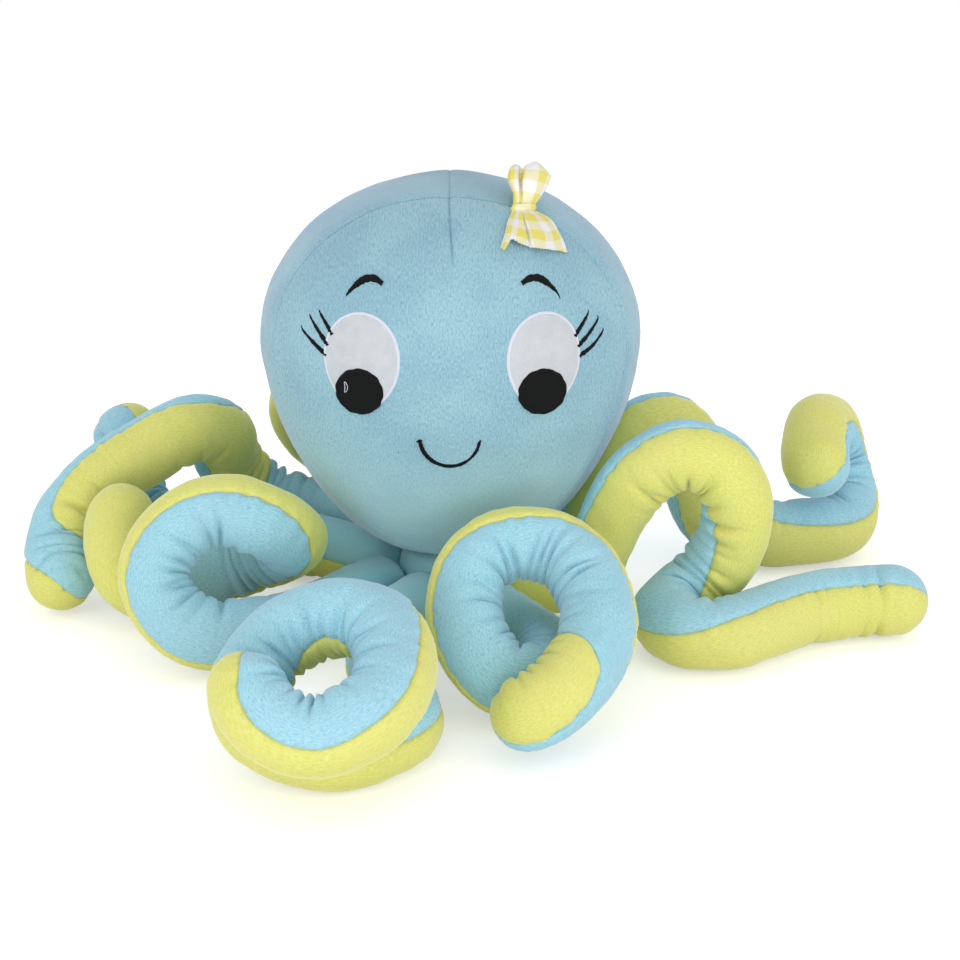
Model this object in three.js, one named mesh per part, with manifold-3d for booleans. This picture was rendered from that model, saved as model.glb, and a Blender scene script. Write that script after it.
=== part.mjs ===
// Plush octopus: a stuffed head on a low base, and eight posable arms sewn round it.
// Millimetres, +Z up. The origin is the middle of the base disc's flat underside.
// The face looks along -Y, and +X is on the viewer's right.

import * as THREE from "three";
import { mergeVertices } from "three/addons/utils/BufferGeometryUtils.js";
import Module from "manifold-3d";

// Driving sizes of the head
const HEAD_WIDTH = 278;
const HEAD_HEIGHT = 272;
const HEAD_LEAN = THREE.MathUtils.degToRad(7);
const NECK_WIDTH = 100;
const NECK_HEIGHT = 53;
const FABRIC = 3;

// Driving sizes of the base
const BASE_DISC = 3;

// Driving sizes of the arms
const ARM_COUNT = 8;
const ARM_WIDTH = 52;
const ROOT_WIDTH = 44;
const WIRE_SIDE = 3;

// Clearances, and how near two points are one
const GAP = 0.3;
const ARM_GAP = 0.9;
const WELD = 0.0001;

// Driving sizes of the face, its heights counted from the neck
const EYE_WIDTH = 53;
const EYE_HEIGHT = 67;
const EYE_SPREAD = 62;
const EYE_LEVEL = 155;
const PUPIL_WIDTH = 34;
const PUPIL_DROP = 21;
const FELT = 1.6;
const BORDER = 2.6;
const BROW_WIDTH = 27;
const BROW_RISE = 13;
const BROW_THICKNESS = 4.6;
const BROW_LEVEL = 199;
const LASH_THICKNESS = 2.6;
const MOUTH_WIDTH = 42;
const MOUTH_DROP = 20;
const MOUTH_LEVEL = 101;
const MOUTH_THICKNESS = 2.6;
const STITCH = 1.2;

// Driving sizes of the bow
const BOW_PLACE = 55;
const BOW_LEVEL = 251;
const BOW_UPPER = 36;
const BOW_LOWER = 42;
const BOW_UPPER_WIDTH = 32;
const BOW_LOWER_WIDTH = 50;
const BOW_DEPTH = 12;
const KNOT_WIDTH = 13;
const KNOT_HEIGHT = 11;
const KNOT_DEPTH = 14;
const KNOT_GAP = 0.6;
const BOW_TURN = THREE.MathUtils.degToRad(38);

// Facets
const HEAD_SIDES = 28;
const STRIP_SIDES = 4;
const STEP_SHARE = 0.32;

const wasm = await Module();
wasm.setup();

// Materials
const BLUE_PLUSH = new THREE.MeshStandardMaterial({ color: "#96d2e2", roughness: 0.95, metalness: 0 });
const YELLOW_PLUSH = new THREE.MeshStandardMaterial({ color: "#e0e070", roughness: 0.95, metalness: 0 });
const STUFFING = new THREE.MeshStandardMaterial({ color: "#f4f2ec", roughness: 1, metalness: 0 });
const WHITE_FELT = new THREE.MeshStandardMaterial({ color: "#dde3e4", roughness: 0.9, metalness: 0 });
const WHITE_THREAD = new THREE.MeshStandardMaterial({ color: "#eef0f0", roughness: 0.55, metalness: 0 });
const BLACK_THREAD = new THREE.MeshStandardMaterial({ color: "#17181b", roughness: 0.6, metalness: 0 });
const GINGHAM = new THREE.MeshStandardMaterial({ color: "#eee3a2", roughness: 0.85, metalness: 0 });
const WIRE = new THREE.MeshStandardMaterial({ color: "#c9c9c4", roughness: 0.5, metalness: 0.2 });

// Solids to cut and join

function solidFrom(geometry) {
  const bare = geometry.clone();
  for (const name of Object.keys(bare.attributes)) {
    if (name !== "position") bare.deleteAttribute(name);
  }
  const merged = mergeVertices(bare, WELD);
  const mesh = new wasm.Mesh({
    numProp: 3,
    vertProperties: new Float32Array(merged.attributes.position.array),
    triVerts: new Uint32Array(merged.index.array),
  });
  return new wasm.Manifold(mesh);
}

function geometryFrom(solid) {
  const mesh = solid.getMesh();
  const geometry = new THREE.BufferGeometry();
  geometry.setAttribute("position", new THREE.BufferAttribute(new Float32Array(mesh.vertProperties), 3));
  geometry.setIndex(new THREE.BufferAttribute(new Uint32Array(mesh.triVerts), 1));
  return geometry;
}

// The largest body of a cut solid, so that no loose sliver stays on it
function mainBody(solid) {
  const bodies = solid.decompose();
  bodies.sort((a, b) => b.volume() - a.volume());
  return bodies[0];
}

function flatShaded(geometry) {
  const plain = geometry.index ? geometry.toNonIndexed() : geometry;
  plain.computeVertexNormals();
  return plain;
}

function part(name, geometry, material) {
  const mesh = new THREE.Mesh(flatShaded(geometry), material);
  mesh.name = name;
  return mesh;
}

// Head

// Shares of the head's height above the neck, and of its half width there
const HEAD_SHARES = [
  [0.0, 0.36], [0.03, 0.46], [0.08, 0.58], [0.16, 0.71], [0.26, 0.83], [0.37, 0.925],
  [0.48, 0.98], [0.58, 1.0], [0.69, 0.955], [0.79, 0.855], [0.88, 0.69], [0.955, 0.44], [1.0, 0.0],
];

function headPoints() {
  return HEAD_SHARES.map(([up, out], i) => {
    const radius = i === 0 ? NECK_WIDTH / 2 : (out * HEAD_WIDTH) / 2;
    return new THREE.Vector2(radius, up * HEAD_HEIGHT);
  });
}

// The head's outline moved out by a distance, or in where it is negative
function movedOutline(points, distance) {
  return points.map((point, i) => {
    const before = points[Math.max(i - 1, 0)];
    const after = points[Math.min(i + 1, points.length - 1)];
    const along = after.clone().sub(before).normalize();
    const out = new THREE.Vector2(along.y, -along.x);
    if (i === points.length - 1) out.set(0, 1);
    const moved = point.clone().addScaledVector(out, distance);
    if (i === points.length - 1) moved.x = 0;
    return moved;
  });
}

// Heights in the head's own frame count from its neck, and its axis leans back
function placeOnNeck(geometry) {
  geometry.rotateX(-HEAD_LEAN);
  geometry.translate(0, 0, NECK_HEIGHT);
  return geometry;
}

function headSolid(distance) {
  const outline = movedOutline(headPoints(), distance);
  const floor = Math.min(0, -distance);
  outline[0].y = floor;
  outline.unshift(new THREE.Vector2(0, floor));
  const geometry = new THREE.LatheGeometry(outline, HEAD_SIDES);
  geometry.rotateX(Math.PI / 2);
  return solidFrom(placeOnNeck(geometry));
}

// A point of the head's outer surface in its own frame, and the way out there
function headSurface(x, height) {
  const points = headPoints();
  let i = 1;
  while (i < points.length - 1 && points[i].y < height) i += 1;
  const low = points[i - 1];
  const high = points[i];
  const share = (height - low.y) / (high.y - low.y);
  const radius = THREE.MathUtils.lerp(low.x, high.x, share);
  const back = Math.sqrt(Math.max(radius * radius - x * x, 0));
  const slope = Math.atan2(low.x - high.x, high.y - low.y);
  const out = new THREE.Vector3(x / radius, -back / radius, Math.tan(slope)).normalize();
  return { place: new THREE.Vector3(x, -back, height), out };
}

function slab(size, x, y, z) {
  const geometry = new THREE.BoxGeometry(size, size, size);
  geometry.translate(x, y, z);
  return geometry;
}

// The cover is a round face panel in front, and two back panels that meet behind
const FACE_SEAM_SHARE = 0.42;

function headPieces() {
  const outer = headSolid(0);
  const inner = headSolid(-FABRIC);
  const core = headSolid(-FABRIC - GAP);
  const size = HEAD_WIDTH + HEAD_HEIGHT + NECK_HEIGHT;
  const seam = (-FACE_SEAM_SHARE * HEAD_WIDTH) / 2;
  const front = solidFrom(placeOnNeck(slab(size, 0, seam - size / 2, 0)));
  const behind = seam + size / 2 + GAP;
  const left = solidFrom(placeOnNeck(slab(size, -(size + GAP) / 2, behind, 0)));
  const right = solidFrom(placeOnNeck(slab(size, (size + GAP) / 2, behind, 0)));
  const cover = outer.subtract(inner);
  const neckFloor = solidFrom(placeOnNeck(slab(size, 0, 0, size / 2 + GAP)));
  return [
    part("head_stuffing", geometryFrom(core.intersect(neckFloor)), STUFFING),
    part("face_panel", geometryFrom(mainBody(cover.intersect(front))), BLUE_PLUSH),
    part("back_panel_left", geometryFrom(mainBody(cover.intersect(left))), BLUE_PLUSH),
    part("back_panel_right", geometryFrom(mainBody(cover.intersect(right))), BLUE_PLUSH),
  ];
}

// Where the arms are sewn on: a ring wide enough for all root balls side by side
const ROOT_RING = (ROOT_WIDTH + ARM_GAP * 2) / 2 / Math.sin(Math.PI / ARM_COUNT);
const ROOT_LEVEL = ROOT_WIDTH / 2 + ARM_GAP;

// Base: a stuffed drum under the neck that the arms' roots press into, closed by a flat disc
// that rests on the table
const BASE_WAIST_SHARE = 0.92;
const BASE_WIDTH = ROOT_RING * 2 - ROOT_WIDTH - GAP * 2;
const ROOT_PRESS_SHARE = 0.25;

const SOCKET_SIDES = 16;

// The dent that a root ball makes, wide enough all round for the ball to turn in
function rootSocket(turn) {
  const radius = (ROOT_WIDTH / 2 + GAP) / Math.cos(Math.PI / SOCKET_SIDES);
  const geometry = new THREE.SphereGeometry(radius, SOCKET_SIDES, (SOCKET_SIDES * 3) / 4);
  geometry.translate(...rootPlace(turn).toArray());
  return solidFrom(geometry);
}

function baseCushion() {
  const low = BASE_DISC + GAP;
  const waist = (BASE_WIDTH / 2) * BASE_WAIST_SHARE;
  const high = NECK_HEIGHT - Math.sin(HEAD_LEAN) * waist - GAP;
  const widest = BASE_WIDTH / 2 + (ROOT_WIDTH / 2) * ROOT_PRESS_SHARE;
  const outline = [
    new THREE.Vector2(0, low),
    new THREE.Vector2(waist, low),
    new THREE.Vector2(widest, (low + high) / 2),
    new THREE.Vector2(waist, high),
    new THREE.Vector2(0, high),
  ];
  const geometry = new THREE.LatheGeometry(outline, ARM_COUNT * 2);
  geometry.rotateX(Math.PI / 2);
  let cushion = solidFrom(geometry);
  for (let turn = 0; turn < ARM_COUNT; turn += 1) cushion = cushion.subtract(rootSocket(turn));
  return part("base_cushion", geometryFrom(mainBody(cushion)), BLUE_PLUSH);
}

function baseDisc() {
  const radius = (BASE_WIDTH / 2) * BASE_WAIST_SHARE;
  const geometry = new THREE.CylinderGeometry(radius, radius, BASE_DISC, HEAD_SIDES);
  geometry.rotateX(Math.PI / 2);
  geometry.translate(0, 0, BASE_DISC / 2);
  return part("base_disc", geometry, BLUE_PLUSH);
}

// Arms

// Each arm is two plush strips, blue and yellow, sewn together along both edges and stuffed,
// with a bendable wire along the seam plane. It keeps the shape it is bent to.
// An arm's places are shares of the arm's width, and its blue side's way is a plain direction.
// A place row is [x, y, z, blue x, blue y, blue z].

const UP = new THREE.Vector3(0, 0, 1);

function rootPlace(turn) {
  const angle = ((turn + 0.5) * 2 * Math.PI) / ARM_COUNT;
  return new THREE.Vector3(ROOT_RING * Math.cos(angle), ROOT_RING * Math.sin(angle), ROOT_LEVEL);
}

function armPlace([x, y, z]) {
  return new THREE.Vector3(x, y, z).multiplyScalar(ARM_WIDTH);
}

// Front left: two turns lying on each other in front of the head
const FRONT_LEFT_SHARES = [
  [-0.73, -1.92, 0.52, 0, 0, 1],
  [-0.92, -3.17, 0.52, 0, 0, 1],
  [-0.63, -4.31, 0.52, -0.2, 0, 1],
  [-0.58, -5.23, 0.52, -0.3, 0.1, 1],
  [-1.42, -5.88, 0.52, 0, 0.3, 0.95],
  [-2.27, -5.62, 0.71, 0.4, 0.2, 0.9],
  [-2.46, -5.04, 1, 0.5, 0, 0.85],
  [-2.08, -4.62, 1.42, 0.3, -0.2, 0.9],
  [-1.42, -4.62, 1.73, 0, -0.2, 0.95],
  [-0.81, -5.04, 1.77, -0.6, 0, 0.8],
  [-0.6, -5.88, 1.56, -0.8, 0.1, 0.6],
  [-0.87, -6.58, 1.35, -0.5, 0.4, 0.8],
  [-1.5, -6.81, 1.17, 0, 0.4, 0.9],
  [-2.08, -6.65, 1.29, 0.6, 0.3, 0.6],
  [-2.38, -6.15, 1.56, 0.9, 0, 0.1],
  [-2.42, -5.85, 1.71, 0.9, 0, -0.1],
];

// Front right: a ring that leans back under the chin, its tip curled forward over the floor
const FRONT_RIGHT_SHARES = [
  [0.85, -2.02, 0.52, 0, 0, 1],
  [1.27, -2.88, 0.52, 0, -0.2, 1],
  [1.31, -3.38, 0.52, 0.1, -0.5, 0.85],
  [1.17, -3.88, 0.54, 0.1, -0.6, 0.8],
  [0.75, -4.06, 0.65, 0.25, -0.7, 0.65],
  [0.38, -3.81, 0.92, 0.45, -0.8, 0.4],
  [0.21, -3.35, 1.31, 0.5, -0.8, 0.3],
  [0.38, -2.92, 1.77, 0.35, -0.85, -0.1],
  [0.92, -2.73, 1.98, 0, -0.88, -0.42],
  [1.54, -2.85, 1.87, -0.35, -0.85, -0.15],
  [1.9, -3.38, 1.54, -0.5, -0.75, 0.4],
  [1.88, -4.19, 1.23, -0.75, 0, 0.6],
  [1.54, -4.85, 0.94, -0.45, 0.55, -0.1],
  [1.04, -5.12, 0.69, 0, 0.6, -0.7],
  [0.54, -5.12, 0.6, 0.1, 0.5, -0.8],
];

// Left front: a ring that stands nearly upright, and then a back turn behind it
const LEFT_FRONT_SHARES = [
  [-1.54, -1.27, 0.52, 0, -0.1, 1],
  [-2.04, -1.87, 0.52, 0, -0.4, 1],
  [-2.65, -2.33, 0.54, -0.2, -0.6, 0.9],
  [-3.27, -2.52, 0.6, 0, -0.65, 0.9],
  [-3.77, -2.4, 0.9, 0.5, -0.7, 0.6],
  [-3.96, -2.19, 1.35, 0.7, -0.7, 0.2],
  [-3.69, -1.92, 1.85, 0.45, -0.7, -0.35],
  [-3.12, -1.77, 2.08, 0, -0.7, -0.55],
  [-2.5, -1.69, 1.9, -0.45, -0.7, -0.3],
  [-2.19, -1.37, 1.54, -0.68, -0.6, 0.1],
  [-2.4, -0.96, 1.23, -0.5, -0.6, 0.45],
  [-2.88, -0.69, 0.96, -0.2, -0.8, 0.5],
  [-3.54, -0.79, 0.73, 0.1, -0.8, 0.5],
  [-4.06, -0.92, 0.6, 0.35, -0.6, 0.65],
  [-4.5, -0.85, 0.75, 0.7, -0.1, 0.6],
  [-4.69, -0.52, 1.12, 0.7, 0.45, 0.3],
  [-4.67, -0.15, 1.46, 0.35, 0.75, -0.3],
  [-4.62, 0.17, 1.56, 0.2, 0.4, -0.8],
];

// Left back: over a knuckle to the floor, then back and up to its tip
const LEFT_BACK_SHARES = [
  [-1.88, 0.88, 0.52, 0, 0, 1],
  [-2.88, 1.12, 0.52, 0, 0, 1],
  [-3.94, 1.42, 0.54, 0, 0.3, 0.9],
  [-4.65, 1.81, 0.69, 0.3, 0.3, 0.8],
  [-4.94, 2.23, 1.19, 0.5, -0.6, 0.3],
  [-4.92, 2.35, 1.77, 0, -1, 0.1],
  [-4.9, 2.27, 2.23, 0, -0.9, 0.4],
];

// Back left: along the floor, back over itself in a loop, then a long band down to its tip
const BACK_LEFT_SHARES = [
  [-1.15, 1.92, 0.52, 0, 0, 1],
  [-2.15, 2.42, 0.52, 0, 0, 1],
  [-3, 2.5, 0.81, -0.5, 0, 0.9],
  [-3.42, 2.27, 1.42, -0.8, 0, 0.3],
  [-3.46, 1.81, 1.96, -0.4, 0.4, 0.2],
  [-3.85, 1.42, 2.17, 0, 0.8, 0.4],
  [-4.54, 1.15, 1.88, 0, 0.88, 0.3],
  [-5.17, 0.83, 1.52, -0.15, 0.85, 0.35],
  [-5.56, 0.46, 1.1, -0.6, 0.5, 0.5],
  [-5.65, 0.08, 0.75, -0.45, -0.1, 0.85],
  [-5.58, -0.35, 0.54, 0.1, -0.2, 1],
  [-5.46, -0.77, 0.52, 0.45, 0, 0.85],
];

// Back right: round behind the head, where it stands as a loop on the left
const BACK_RIGHT_SHARES = [
  [0.31, 2.1, 0.52, 0, 0, 1],
  [-0.19, 2.9, 0.52, 0, 0, 1],
  [-1.12, 3.5, 0.62, 0.4, 0, 0.9],
  [-1.88, 3.44, 1.15, 0.9, 0, 0.3],
  [-2.33, 3.04, 1.92, 1, 0, -0.1],
  [-2, 3.12, 2.65, 0.5, 0, -0.8],
  [-1.08, 3.42, 2.92, 0, 0, -1],
  [-0.27, 3.54, 2.38, -0.8, 0, -0.4],
  [-0.19, 3.54, 1.65, -1, 0, 0.2],
  [-0.42, 3.54, 1.19, -0.6, 0, 0.8],
];

// Right front: an arch that comes down to the floor and folds into a long forearm
const RIGHT_FRONT_SHARES = [
  [1.85, -0.65, 0.65, -0.3, 0.9, 0.4],
  [2.12, -0.85, 1.27, -0.4, 0.9, 0.2],
  [2.35, -0.96, 1.88, -0.4, 0.9, 0.2],
  [2.69, -1.04, 2.38, -0.3, 0.9, 0.3],
  [3.23, -1.12, 2.65, 0, 0.9, 0.3],
  [3.73, -1.17, 2.46, 0.3, 0.9, 0],
  [3.96, -1.19, 1.92, -0.5, 0.8, -0.2],
  [3.85, -1.15, 1.31, -0.8, 0.4, -0.2],
  [3.54, -1.15, 0.83, -0.7, 0.2, 0.6],
  [3.19, -1.35, 0.58, -0.5, 0.1, 0.9],
  [2.98, -1.81, 0.54, -0.1, 0.1, 1],
  [3.23, -2.27, 0.52, 0, 0.3, 1],
  [3.77, -2.29, 0.52, 0, 0.5, 0.9],
  [4.23, -2, 0.52, 0, 0.5, 0.9],
  [4.96, -1.46, 0.52, 0, 0.6, 0.8],
  [5.81, -1.19, 0.52, 0, 0.6, 0.8],
  [6.67, -1.23, 0.54, 0, 0.6, 0.8],
];

// Right back: a hump behind the arch, then along the floor, its tip bent up and back
const RIGHT_BACK_SHARES = [
  [1.77, 0.62, 0.69, -0.2, 0.9, 0.3],
  [2.15, 0.85, 1.35, -0.3, 0.9, 0.2],
  [2.42, 1, 1.88, -0.3, 0.9, 0.2],
  [2.81, 1.15, 2.25, -0.2, 0.95, 0.1],
  [3.23, 1.33, 2.23, -0.2, 0.95, 0],
  [3.56, 1.46, 1.81, -0.5, 0.85, -0.15],
  [3.65, 1.5, 1.19, -0.8, 0.6, 0],
  [3.98, 1.46, 0.67, -0.3, 0.9, -0.2],
  [4.65, 1.38, 0.54, 0, 0.7, 0.7],
  [5.35, 1.46, 0.54, 0, 0.5, 0.85],
  [5.87, 1.77, 0.56, -0.3, 0.3, 0.9],
  [6, 2.29, 0.73, -0.3, 0, 0.9],
  [5.88, 2.71, 1.23, -0.2, -0.9, 0.3],
  [5.69, 2.54, 1.79, -0.1, -0.7, -0.7],
  [5.48, 2, 1.94, 0, -0.2, -1],
  [5.38, 1.38, 1.75, 0, 0.2, -1],
  [5.35, 0.73, 1.54, 0.1, 0.3, -1],
];

// Names, turns round the ring counted from the right, and places of the arms
const ARMS = [
  ["arm_right_back", 0, RIGHT_BACK_SHARES],
  ["arm_back_right", 1, BACK_RIGHT_SHARES],
  ["arm_back_left", 2, BACK_LEFT_SHARES],
  ["arm_left_back", 3, LEFT_BACK_SHARES],
  ["arm_left_front", 4, LEFT_FRONT_SHARES],
  ["arm_front_left", 5, FRONT_LEFT_SHARES],
  ["arm_front_right", 6, FRONT_RIGHT_SHARES],
  ["arm_right_front", 7, RIGHT_FRONT_SHARES],
];

// Shares of the arm's length, and where its width is between the root's and the full one
const SWELL_SHARES = [
  [0, 0],
  [0.12, 0.25],
  [0.3, 1],
  [1, 1],
];

const CAP_ANGLES = [30, 60].map(THREE.MathUtils.degToRad);

function swellAt(share) {
  let i = 1;
  while (i < SWELL_SHARES.length - 1 && SWELL_SHARES[i][0] < share) i += 1;
  const [s0, v0] = SWELL_SHARES[i - 1];
  const [s1, v1] = SWELL_SHARES[i];
  return THREE.MathUtils.mapLinear(THREE.MathUtils.clamp(share, s0, s1), s0, s1, v0, v1);
}

// The way to the middle of the bend at a station, as long as one over its radius
function bendAt(stations, i) {
  const here = stations[i];
  if (i === 0 || i === stations.length - 1) return new THREE.Vector3();
  const [before, after] = [stations[i - 1], stations[i + 1]];
  const ahead = after.place.clone().sub(here.place);
  const behind = here.place.clone().sub(before.place);
  const step = (ahead.length() + behind.length()) / 2;
  return ahead.normalize().sub(behind.normalize()).divideScalar(step);
}

// The arm's stations from the root's pole to the tip's: place, way of the blue side, way of the
// seam, radius, and how open the wire's channel is there
function armStations(turn, rows) {
  const root = rootPlace(turn);
  const places = [root, ...rows.map(armPlace)];
  const ways = [rows[0], ...rows].map((row) => new THREE.Vector3(...row.slice(3)).normalize());
  const curve = new THREE.CatmullRomCurve3(places, false, "centripetal");
  curve.arcLengthDivisions = 30 * places.length;
  const length = curve.getLength();
  const rootRadius = ROOT_WIDTH / 2;
  const tipRadius = ARM_WIDTH / 2;

  const stationAt = (distance, radius, open) => {
    const inside = THREE.MathUtils.clamp(distance, 0, length);
    const t = curve.getUtoTmapping(inside / length);
    const tangent = curve.getTangent(t);
    const place = curve.getPoint(t).addScaledVector(tangent, distance - inside);
    const at = t * (places.length - 1);
    const row = Math.min(Math.floor(at), places.length - 2);
    const blue = ways[row].clone().lerp(ways[row + 1], at - row);
    blue.addScaledVector(tangent, -blue.dot(tangent)).normalize();
    const side = tangent.clone().cross(blue).normalize();
    return { place, blue, side, radius, open, distance };
  };

  const stations = [stationAt(-rootRadius, 0, 0)];
  for (const angle of CAP_ANGLES) {
    stations.push(stationAt(-rootRadius * Math.cos(angle), rootRadius * Math.sin(angle), 0));
  }
  const run = length - tipRadius;
  const steps = Math.round(run / (ARM_WIDTH * STEP_SHARE));
  for (let i = 0; i <= steps; i += 1) {
    const distance = (run * i) / steps;
    const radius = THREE.MathUtils.lerp(rootRadius, tipRadius, swellAt(distance / length));
    stations.push(stationAt(distance, radius, i === 0 || i === steps ? 0 : 1));
  }
  for (const angle of CAP_ANGLES.toReversed()) {
    const distance = run + tipRadius * Math.cos(angle);
    stations.push(stationAt(distance, tipRadius * Math.sin(angle), 0));
  }
  stations.push(stationAt(length, 0, 0));
  stations.forEach((station, i) => {
    station.bend = bendAt(stations, i);
  });
  return stations;
}

// A tube through rings of equally many points, each end drawn to a point or closed flat. The
// quads from one side on are split along their other diagonal.
function loft(rings, turnedFrom = Infinity) {
  const places = [];
  const triangles = [];
  const starts = rings.map((ring) => {
    const start = places.length;
    places.push(...ring);
    return start;
  });
  const add = (a, b, c) => triangles.push(a, b, c);
  for (let k = 0; k < rings.length - 1; k += 1) {
    const [here, next] = [starts[k], starts[k + 1]];
    const [n, m] = [rings[k].length, rings[k + 1].length];
    for (let i = 0; i < Math.max(n, m); i += 1) {
      const j = (i + 1) % Math.max(n, m);
      const turned = n === m && i >= turnedFrom;
      if (n > 1) add(here + i, here + j, next + (m === 1 ? 0 : turned ? i : j));
      if (m > 1) add(here + (n === 1 ? 0 : turned ? j : i), next + j, next + i);
    }
  }
  for (const [k, turned] of [[0, false], [rings.length - 1, true]]) {
    for (let i = 1; i < rings[k].length - 1; i += 1) {
      const [a, b, c] = [starts[k], starts[k] + i, starts[k] + i + 1];
      if (turned) add(a, b, c);
      else add(a, c, b);
    }
  }
  const geometry = new THREE.BufferGeometry();
  const flat = new Float32Array(places.flatMap((place) => place.toArray()));
  geometry.setAttribute("position", new THREE.BufferAttribute(flat, 3));
  geometry.setIndex(triangles);
  return geometry;
}

const WIRE_SEAT = GAP * 4;
const CHANNEL = WIRE_SIDE + WIRE_SEAT * 2.5;
const WIRE_RISE_SHARE = 0.87;
const TURN_SHARE = 2.5;

// A bend draws the arm's inner side in, the more the nearer it comes to the bend's middle, so
// that its folds never cross
const INNER_SHARE = 0.8;
const INNER_POWER = 4;

function drawnIn(offset, bend) {
  const inward = bend.clone().normalize();
  const reach = offset.dot(inward);
  if (reach <= 0) return offset;
  const share = (reach * bend.length()) / INNER_SHARE;
  const kept = (1 + share ** INNER_POWER) ** (-1 / INNER_POWER);
  return offset.addScaledVector(inward, reach * (kept - 1));
}

// One strip with its half of the stuffing: the round side out, the flat side on the seam plane
function stripGeometry(stations, sign, channel) {
  const rings = stations.map(({ place, blue, side, bend, radius, open }) => {
    const at = (across, out) => {
      const depth = Math.max(out, GAP / 2) * sign;
      const offset = side.clone().multiplyScalar(across * sign).addScaledVector(blue, depth);
      return place.clone().add(drawnIn(offset, bend));
    };
    if (radius === 0) return [at(0, 0)];
    const ring = [];
    for (let i = 0; i <= STRIP_SIDES; i += 1) {
      const angle = (i / STRIP_SIDES - 0.5) * Math.PI;
      ring.push(at(radius * Math.sin(angle), radius * Math.cos(angle)));
    }
    const half = Math.min(CHANNEL / 2, radius / 2);
    ring.push(at(half, 0), at(0, channel * open), at(-half, 0));
    return ring;
  });
  return loft(rings, sign < 0 ? STRIP_SIDES : Infinity);
}

// The wire lies in the yellow strip's channel, three-sided like the channel
function wireGeometry(stations) {
  const inner = stations.filter(({ open }) => open === 1);
  const rings = inner.map(({ place, blue, side, bend }) => {
    const at = (across, depth) => {
      const offset = side.clone().multiplyScalar(across).addScaledVector(blue, -depth);
      return place.clone().add(drawnIn(offset, bend));
    };
    const half = WIRE_SIDE / 2;
    return [at(-half, WIRE_SEAT), at(half, WIRE_SEAT), at(0, WIRE_SEAT + WIRE_SIDE * WIRE_RISE_SHARE)];
  });
  return loft(rings);
}

// The least gap between an arm's stretches that lie more than a turn's height apart
function leastGap(stations) {
  let least = Infinity;
  stations.forEach((here, i) => {
    for (const there of stations.slice(i + 1)) {
      const apart = there.distance - here.distance;
      if (apart < ARM_WIDTH * TURN_SHARE) continue;
      const gap = here.place.distanceTo(there.place) - here.radius - there.radius;
      least = Math.min(least, gap);
    }
  });
  return least;
}

function armPieces(name, turn, rows) {
  const stations = armStations(turn, rows);
  console.log(name, "least gap to itself", leastGap(stations).toFixed(1), "mm");
  return [
    part(`${name}_blue_strip`, stripGeometry(stations, 1, 0), BLUE_PLUSH),
    part(`${name}_yellow_strip`, stripGeometry(stations, -1, CHANNEL), YELLOW_PLUSH),
    part(`${name}_wire`, wireGeometry(stations), WIRE),
  ];
}

// Face: felt patches with satin borders, and embroidered brows, lashes and mouth

// An outline's points are places across the face and heights above the neck. It is pressed
// straight back on the head and keeps the layer between two distances from the cover.
function appliedTo(outline, from, to) {
  const shape = new THREE.Shape(outline);
  const geometry = new THREE.ExtrudeGeometry(shape, { depth: HEAD_WIDTH, bevelEnabled: false });
  geometry.rotateX(Math.PI / 2);
  const prism = solidFrom(placeOnNeck(geometry));
  return mainBody(headSolid(to).subtract(headSolid(from)).intersect(prism));
}

// An egg standing on its narrow end
const EGG_SHARE = 0.07;

function eggOutline(x, level, width, height, points) {
  return Array.from({ length: points }, (_, i) => {
    const angle = (i / points) * 2 * Math.PI;
    const across = (width / 2) * Math.cos(angle) * (1 + EGG_SHARE * Math.sin(angle));
    return new THREE.Vector2(x + across, level + (height / 2) * Math.sin(angle));
  });
}

const EYE_POINTS = 18;
const PUPIL_POINTS = 14;
const PUPIL_LAYER = FELT + GAP * 2;

function borderAround(inner, outer, from, to) {
  return mainBody(appliedTo(outer, from, to).subtract(appliedTo(inner, from - GAP, to + GAP)));
}

function eyePieces(name, sign) {
  const x = sign * EYE_SPREAD;
  const egg = (more) => eggOutline(x, EYE_LEVEL, EYE_WIDTH + more, EYE_HEIGHT + more, EYE_POINTS);
  const level = EYE_LEVEL - PUPIL_DROP;
  const disc = (more) => eggOutline(x, level, PUPIL_WIDTH + more, PUPIL_WIDTH + more, PUPIL_POINTS);
  const patch = appliedTo(egg(-BORDER), GAP, FELT);
  const border = borderAround(egg(GAP - BORDER), egg(BORDER), GAP, FELT);
  const pupil = appliedTo(disc(0), PUPIL_LAYER, PUPIL_LAYER + FELT);
  return [
    part(`eye_patch_${name}`, geometryFrom(patch), WHITE_FELT),
    part(`eye_border_${name}`, geometryFrom(border), WHITE_THREAD),
    part(`pupil_${name}`, geometryFrom(pupil), BLACK_THREAD),
  ];
}

// A band along a line of points, with its half width at each
function bandOutline(line, halfWidths) {
  const sides = line.map((point, i) => {
    const before = line[Math.max(i - 1, 0)];
    const after = line[Math.min(i + 1, line.length - 1)];
    const along = after.clone().sub(before).normalize();
    return new THREE.Vector2(-along.y, along.x).multiplyScalar(halfWidths[i]);
  });
  const there = line.map((point, i) => point.clone().add(sides[i]));
  const back = line.map((point, i) => point.clone().sub(sides[i])).toReversed();
  return [...there, ...back];
}

// Shares of the brow's width, rise and thickness, from its inner end
const BROW_SHARES = [
  [-0.45, 0.75, 0.25], [-0.2, 0.98, 0.9], [0.02, 1, 1],
  [0.28, 0.72, 0.75], [0.45, 0.32, 0.5], [0.55, -0.1, 0.15],
];

function browPiece(name, sign) {
  const place = ([out, up]) => {
    return new THREE.Vector2(sign * (EYE_SPREAD + out * BROW_WIDTH), BROW_LEVEL + up * BROW_RISE);
  };
  const widths = BROW_SHARES.map(([, , share]) => (share * BROW_THICKNESS) / 2);
  const outline = bandOutline(BROW_SHARES.map(place), widths);
  return part(`brow_${name}`, geometryFrom(appliedTo(outline, GAP, STITCH)), BLACK_THREAD);
}

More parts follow.
